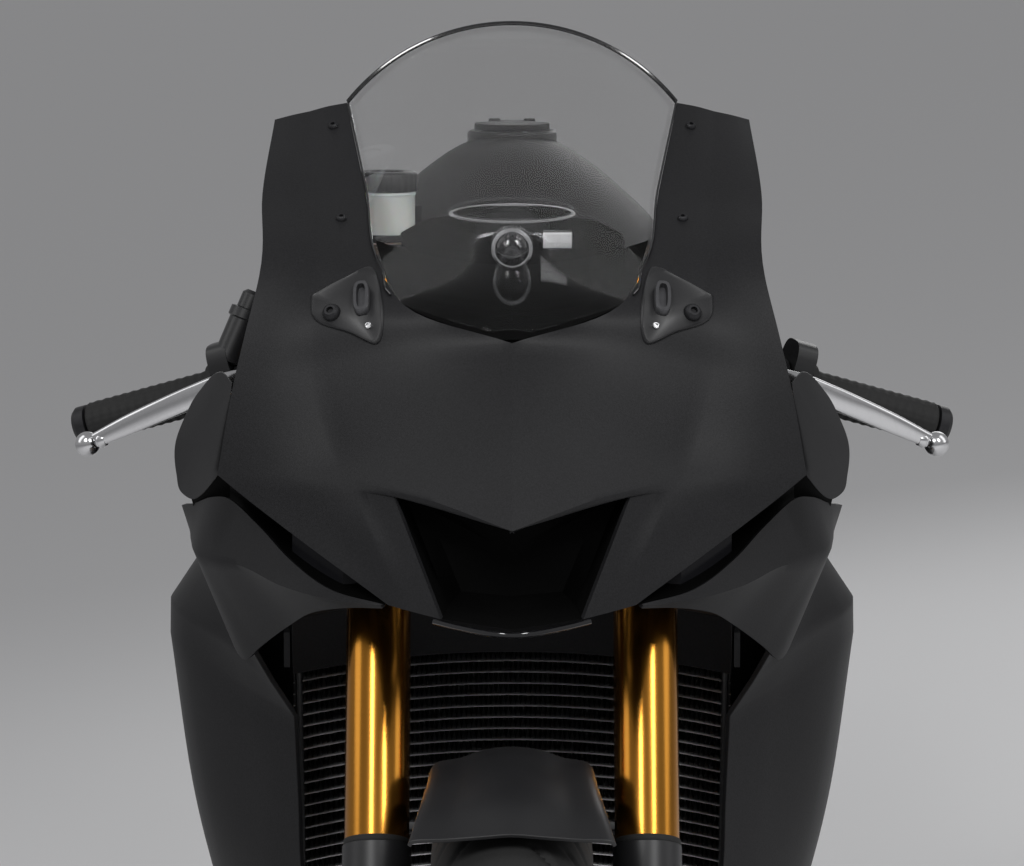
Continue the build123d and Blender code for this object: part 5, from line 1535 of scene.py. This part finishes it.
class SPORTBIKE_OT_tank(bpy.types.Operator):
    """Makes the fuel tank, its filler ring with screws and the lugs of the lid's hinge"""

    bl_idname = "sportbike.tank"
    bl_label = "Fuel tank"

    def execute(self, context):
        """Bell-shaped sections through the stations, and a ring of screws round the filler."""
        net = []
        for y, low, half, shoulder, crown in TANK_ROWS:
            side = [
                (low * 0.5, TANK_FLOOR), (low, TANK_FLOOR),
                ((low + half) / 2 + 6, (TANK_FLOOR + shoulder) / 2),
            ]
            side += [(x * half, shoulder + z * (crown - shoulder)) for x, z in TANK_BELL]
            row = [(0, TANK_FLOOR)] + side + [(-x, z) for x, z in reversed(side[:-1])] + [(0, TANK_FLOOR)]
            net.append([(x, y, z) for x, z in row])
        corners = np.zeros(len(net[0]), bool)
        corners[[2, -3]] = True
        grid = sheet(net, 12, 5, None, corners)[:, :-1]
        tank = grid_part(grid, inside=(0, -100, 900), wrap=True, cap=True)
        piece("tank_shell", tank, "chassis", "matte_black", replaces=["fuel_tank"], crease=40)
        rim = [
            (-24, FILLER_RADIUS), (-2, FILLER_RADIUS), (0, FILLER_RADIUS - 2), (0, 23), (-8, 22), (-30, 22),
            (-30, FILLER_RADIUS - 6),
        ]
        piece("filler_ring", lathe(rim, FILLER_AT, (0, 0, 1), 64, False), "chassis", "satin_black")
        turn = np.arange(5) * 2 * np.pi / 5 + 0.3
        places = FILLER_AT + np.stack([np.sin(turn), np.cos(turn), 0 * turn], 1) * (FILLER_RADIUS - 3.2)
        screws = copies(
            screw_part(2.4, 0.9), facing_frames(places, np.broadcast_to((0.0, 0, 1), places.shape))
        )
        piece("filler_screws", screws, "chassis", "steel")
        lug = lathe([(-5, 4.2), (-4.6, 4.8), (4.6, 4.8), (5, 4.2)], FILLER_AT + (15, 44, 3), (1, 0, 0), 24)
        base = sweep(
            [FILLER_AT + (15, 44, z) for z in np.linspace(-14, 3, 4)], ellipse(9.6, 9.6, 16, 5), (1, 0, 0)
        )
        piece("lid_lugs", both_sides(joined(lug, base)), "chassis", "satin_black")
        return {"FINISHED"}


# Seat and tail stations: y, half width, z low, z high
SEAT_ROWS = [
    (124, 62, 810, 846), (180, 92, 812, 850), (240, 112, 816, 850), (330, 120, 822, 856), (400, 122, 830, 864)
]
TAIL_ROWS = [
    (404, 128, 800, 876), (500, 121, 826, 905), (600, 112, 850, 930), (730, 95, 876, 960),
    (850, 76, 900, 985), (960, 50, 930, 989), (1045, 24, 955, 985),
]


# Padding: dish of the saddle, cell of its mesh in metres, inner pressure, frames of the run, and the
# least upward share of a normal that is free to move
PAD_DISH, PAD_CELL, PAD_PRESSURE, PAD_FRAMES, PAD_FREE = 5, 0.006, 4.0, 20, 0.6


class SPORTBIKE_OT_seat(bpy.types.Operator):
    """Makes the padded seat, its welt and the tail cowl with its lamp"""

    bl_idname = "sportbike.seat"
    bl_label = "Seat and tail"

    def execute(self, context):
        self.pad(context)
        self.tail()
        return {"FINISHED"}

    def section(self, half, low, high, sides=48, power=3.4):
        """Rounded box across the bike: superellipse of the half width and height."""
        outline = ellipse(2 * half, high - low, sides, power)
        return outline + (0, (low + high) / 2)

    def pad(self, context):
        """Saddle of rounded sections, dished in the middle, swollen by a cloth pressure run."""
        rows = np.array(SEAT_ROWS, float)
        y, half, low, high = through(rows[:, 0], rows, between(rows[:, 0], 8)).T
        grid = np.stack(
            [
                np.column_stack([s[:, 0], np.full(len(s), d), s[:, 1]])
                for d, s in zip(y, (self.section(*v) for v in zip(half, low, high)))
            ]
        )
        across = grid[..., 0] / half[:, None]
        grid[..., 2] -= PAD_DISH * (1 - across**2) * (grid[..., 2] > ((low + high) / 2)[:, None])
        seat = piece(
            "seat_pad", grid_part(grid, inside=(0, 260, 835), wrap=True, cap=True), "chassis",
            "leather", replaces=["rider_seat"], crease=60,
        )
        self.swell(context, seat, context.scene.sportbike_seat.swell)
        top = [(x * 0.985, d, z) for x, d, z in grid[2:-2, 3]]
        welt = tube(top, 2.2, (0, 0, 1), 3, 8)
        piece("seat_welt", both_sides(welt), "chassis", "rubber")

    def swell(self, context, seat, limit):
        """Voxel remesh, cloth held at its flanks with inner pressure, then moves capped at the limit."""
        remesh = seat.modifiers.new("remesh", "REMESH")
        remesh.mode = "VOXEL"
        remesh.voxel_size = PAD_CELL
        self.bake(context, seat)
        rest = np.empty(len(seat.data.vertices) * 3)
        seat.data.vertices.foreach_get("co", rest)
        normals = np.empty_like(rest)
        seat.data.vertices.foreach_get("normal", normals)
        held = seat.vertex_groups.new(name="held")
        held.add(np.flatnonzero(normals[2::3] < PAD_FREE).tolist(), 1.0, "REPLACE")
        cloth = seat.modifiers.new("cloth", "CLOTH")
        cloth.settings.vertex_group_mass = held.name
        cloth.settings.use_pressure = True
        cloth.settings.uniform_pressure_force = PAD_PRESSURE
        cloth.settings.effector_weights.gravity = 0.0
        for frame_number in range(1, PAD_FRAMES + 1):
            context.scene.frame_set(frame_number)
        self.bake(context, seat)
        context.scene.frame_set(1)
        moved = np.empty_like(rest)
        seat.data.vertices.foreach_get("co", moved)
        rest, moved = rest.reshape(-1, 3), moved.reshape(-1, 3)
        push = moved - rest
        size = np.linalg.norm(push, axis=1, keepdims=True)
        capped = rest + push * np.minimum(1.0, limit / np.maximum(size, 1e-9))
        seat.data.vertices.foreach_set("co", capped.ravel())
        seat.data.update()
        smooth = seat.modifiers.new("smooth", "SUBSURF")
        smooth.levels = smooth.render_levels = 1
        seat.data.shade_smooth()

    def bake(self, context, obj):
        """Gives the object the mesh that its modifiers make."""
        graph = context.evaluated_depsgraph_get()
        mesh = bpy.data.meshes.new_from_object(obj.evaluated_get(graph), depsgraph=graph)
        obj.modifiers.clear()
        obj.data = mesh

    def tail(self):
        """Hollow-flanked tail: crowned top, a crease at its widest, flanks drawn in to a flat floor."""
        net = []
        for y, half, low, high in TAIL_ROWS:
            rise = high - low
            side = [
                (half * 0.5, high - rise * 0.05), (half * 0.86, high - rise * 0.22),
                (half, high - rise * 0.42), (half * 0.86, low + rise * 0.3), (half * 0.78, low + 3),
                (half * 0.6, low),
            ]
            row = [(0, high)] + side + [(0, low)] + [(-x, z) for x, z in reversed(side)]
            net.append([(x, y, z) for x, z in row] + [(0, y, high)])
        corners = [
            False, False, True, True, False, True, False, False, False, True, False, True, True, False, False
        ]
        grid = sheet(net, 8, 4, None, corners)[:, :-1]
        tail = grid_part(grid, inside=(0, 700, 900), wrap=True, cap=True)
        piece(
            "tail_shell", tail, "chassis", "matte_black", replaces=["tail_cowl"], crease=40
        )
        bulbs = [
            lathe([(0, 3.4), (1.2, 3.4), (2.4, 2.2), (2.8, 0.3)], (x, 1051.6, z), (0, 1, 0), 16)
            for x in np.linspace(-16, 16, 6)
            for z in (963, 971, 979)
        ]
        piece("tail_bulbs", joined(*bulbs), "chassis", "red_lens")


class SPORTBIKE_PT_dresser(bpy.types.Panel):
    """Lists the pieces and their settings"""

    bl_idname = "SPORTBIKE_PT_dresser"
    bl_label = "Sport bike"
    bl_space_type = "VIEW_3D"
    bl_region_type = "UI"
    bl_category = "Sport bike"

    def draw(self, context):
        for operator in OPERATORS:
            self.layout.operator(operator.bl_idname)
        for group in SETTINGS:
            settings = getattr(context.scene, SETTINGS[group])
            for label in group.__annotations__:
                self.layout.prop(settings, label)


SETTINGS = {
    StudioSettings: "sportbike_studio",
    BodySettings: "sportbike_body",
    ControlSettings: "sportbike_controls",
    RadiatorSettings: "sportbike_radiator",
    WheelSettings: "sportbike_wheels",
    SeatSettings: "sportbike_seat",
}
OPERATORS = [
    SPORTBIKE_OT_finishes,
    SPORTBIKE_OT_studio,
    SPORTBIKE_OT_nose_cowl,
    SPORTBIKE_OT_windscreen,
    SPORTBIKE_OT_intake,
    SPORTBIKE_OT_fairings,
    SPORTBIKE_OT_front_end,
    SPORTBIKE_OT_controls,
    SPORTBIKE_OT_cockpit,
    SPORTBIKE_OT_radiator,
    SPORTBIKE_OT_wheels,
    SPORTBIKE_OT_tank,
    SPORTBIKE_OT_seat,
]


def register():
    for cls in (*SETTINGS, *OPERATORS, SPORTBIKE_PT_dresser):
        bpy.utils.register_class(cls)
    for cls, name in SETTINGS.items():
        setattr(bpy.types.Scene, name, PointerProperty(type=cls))


def unregister():
    for name in SETTINGS.values():
        delattr(bpy.types.Scene, name)
    for cls in reversed((*SETTINGS, *OPERATORS, SPORTBIKE_PT_dresser)):
        bpy.utils.unregister_class(cls)


def main():
    """Builds everything in order."""
    register()
    for operator in OPERATORS:
        group, name = operator.bl_idname.split(".")
        getattr(getattr(bpy.ops, group), name)()


if __name__ == "__main__":
    main()
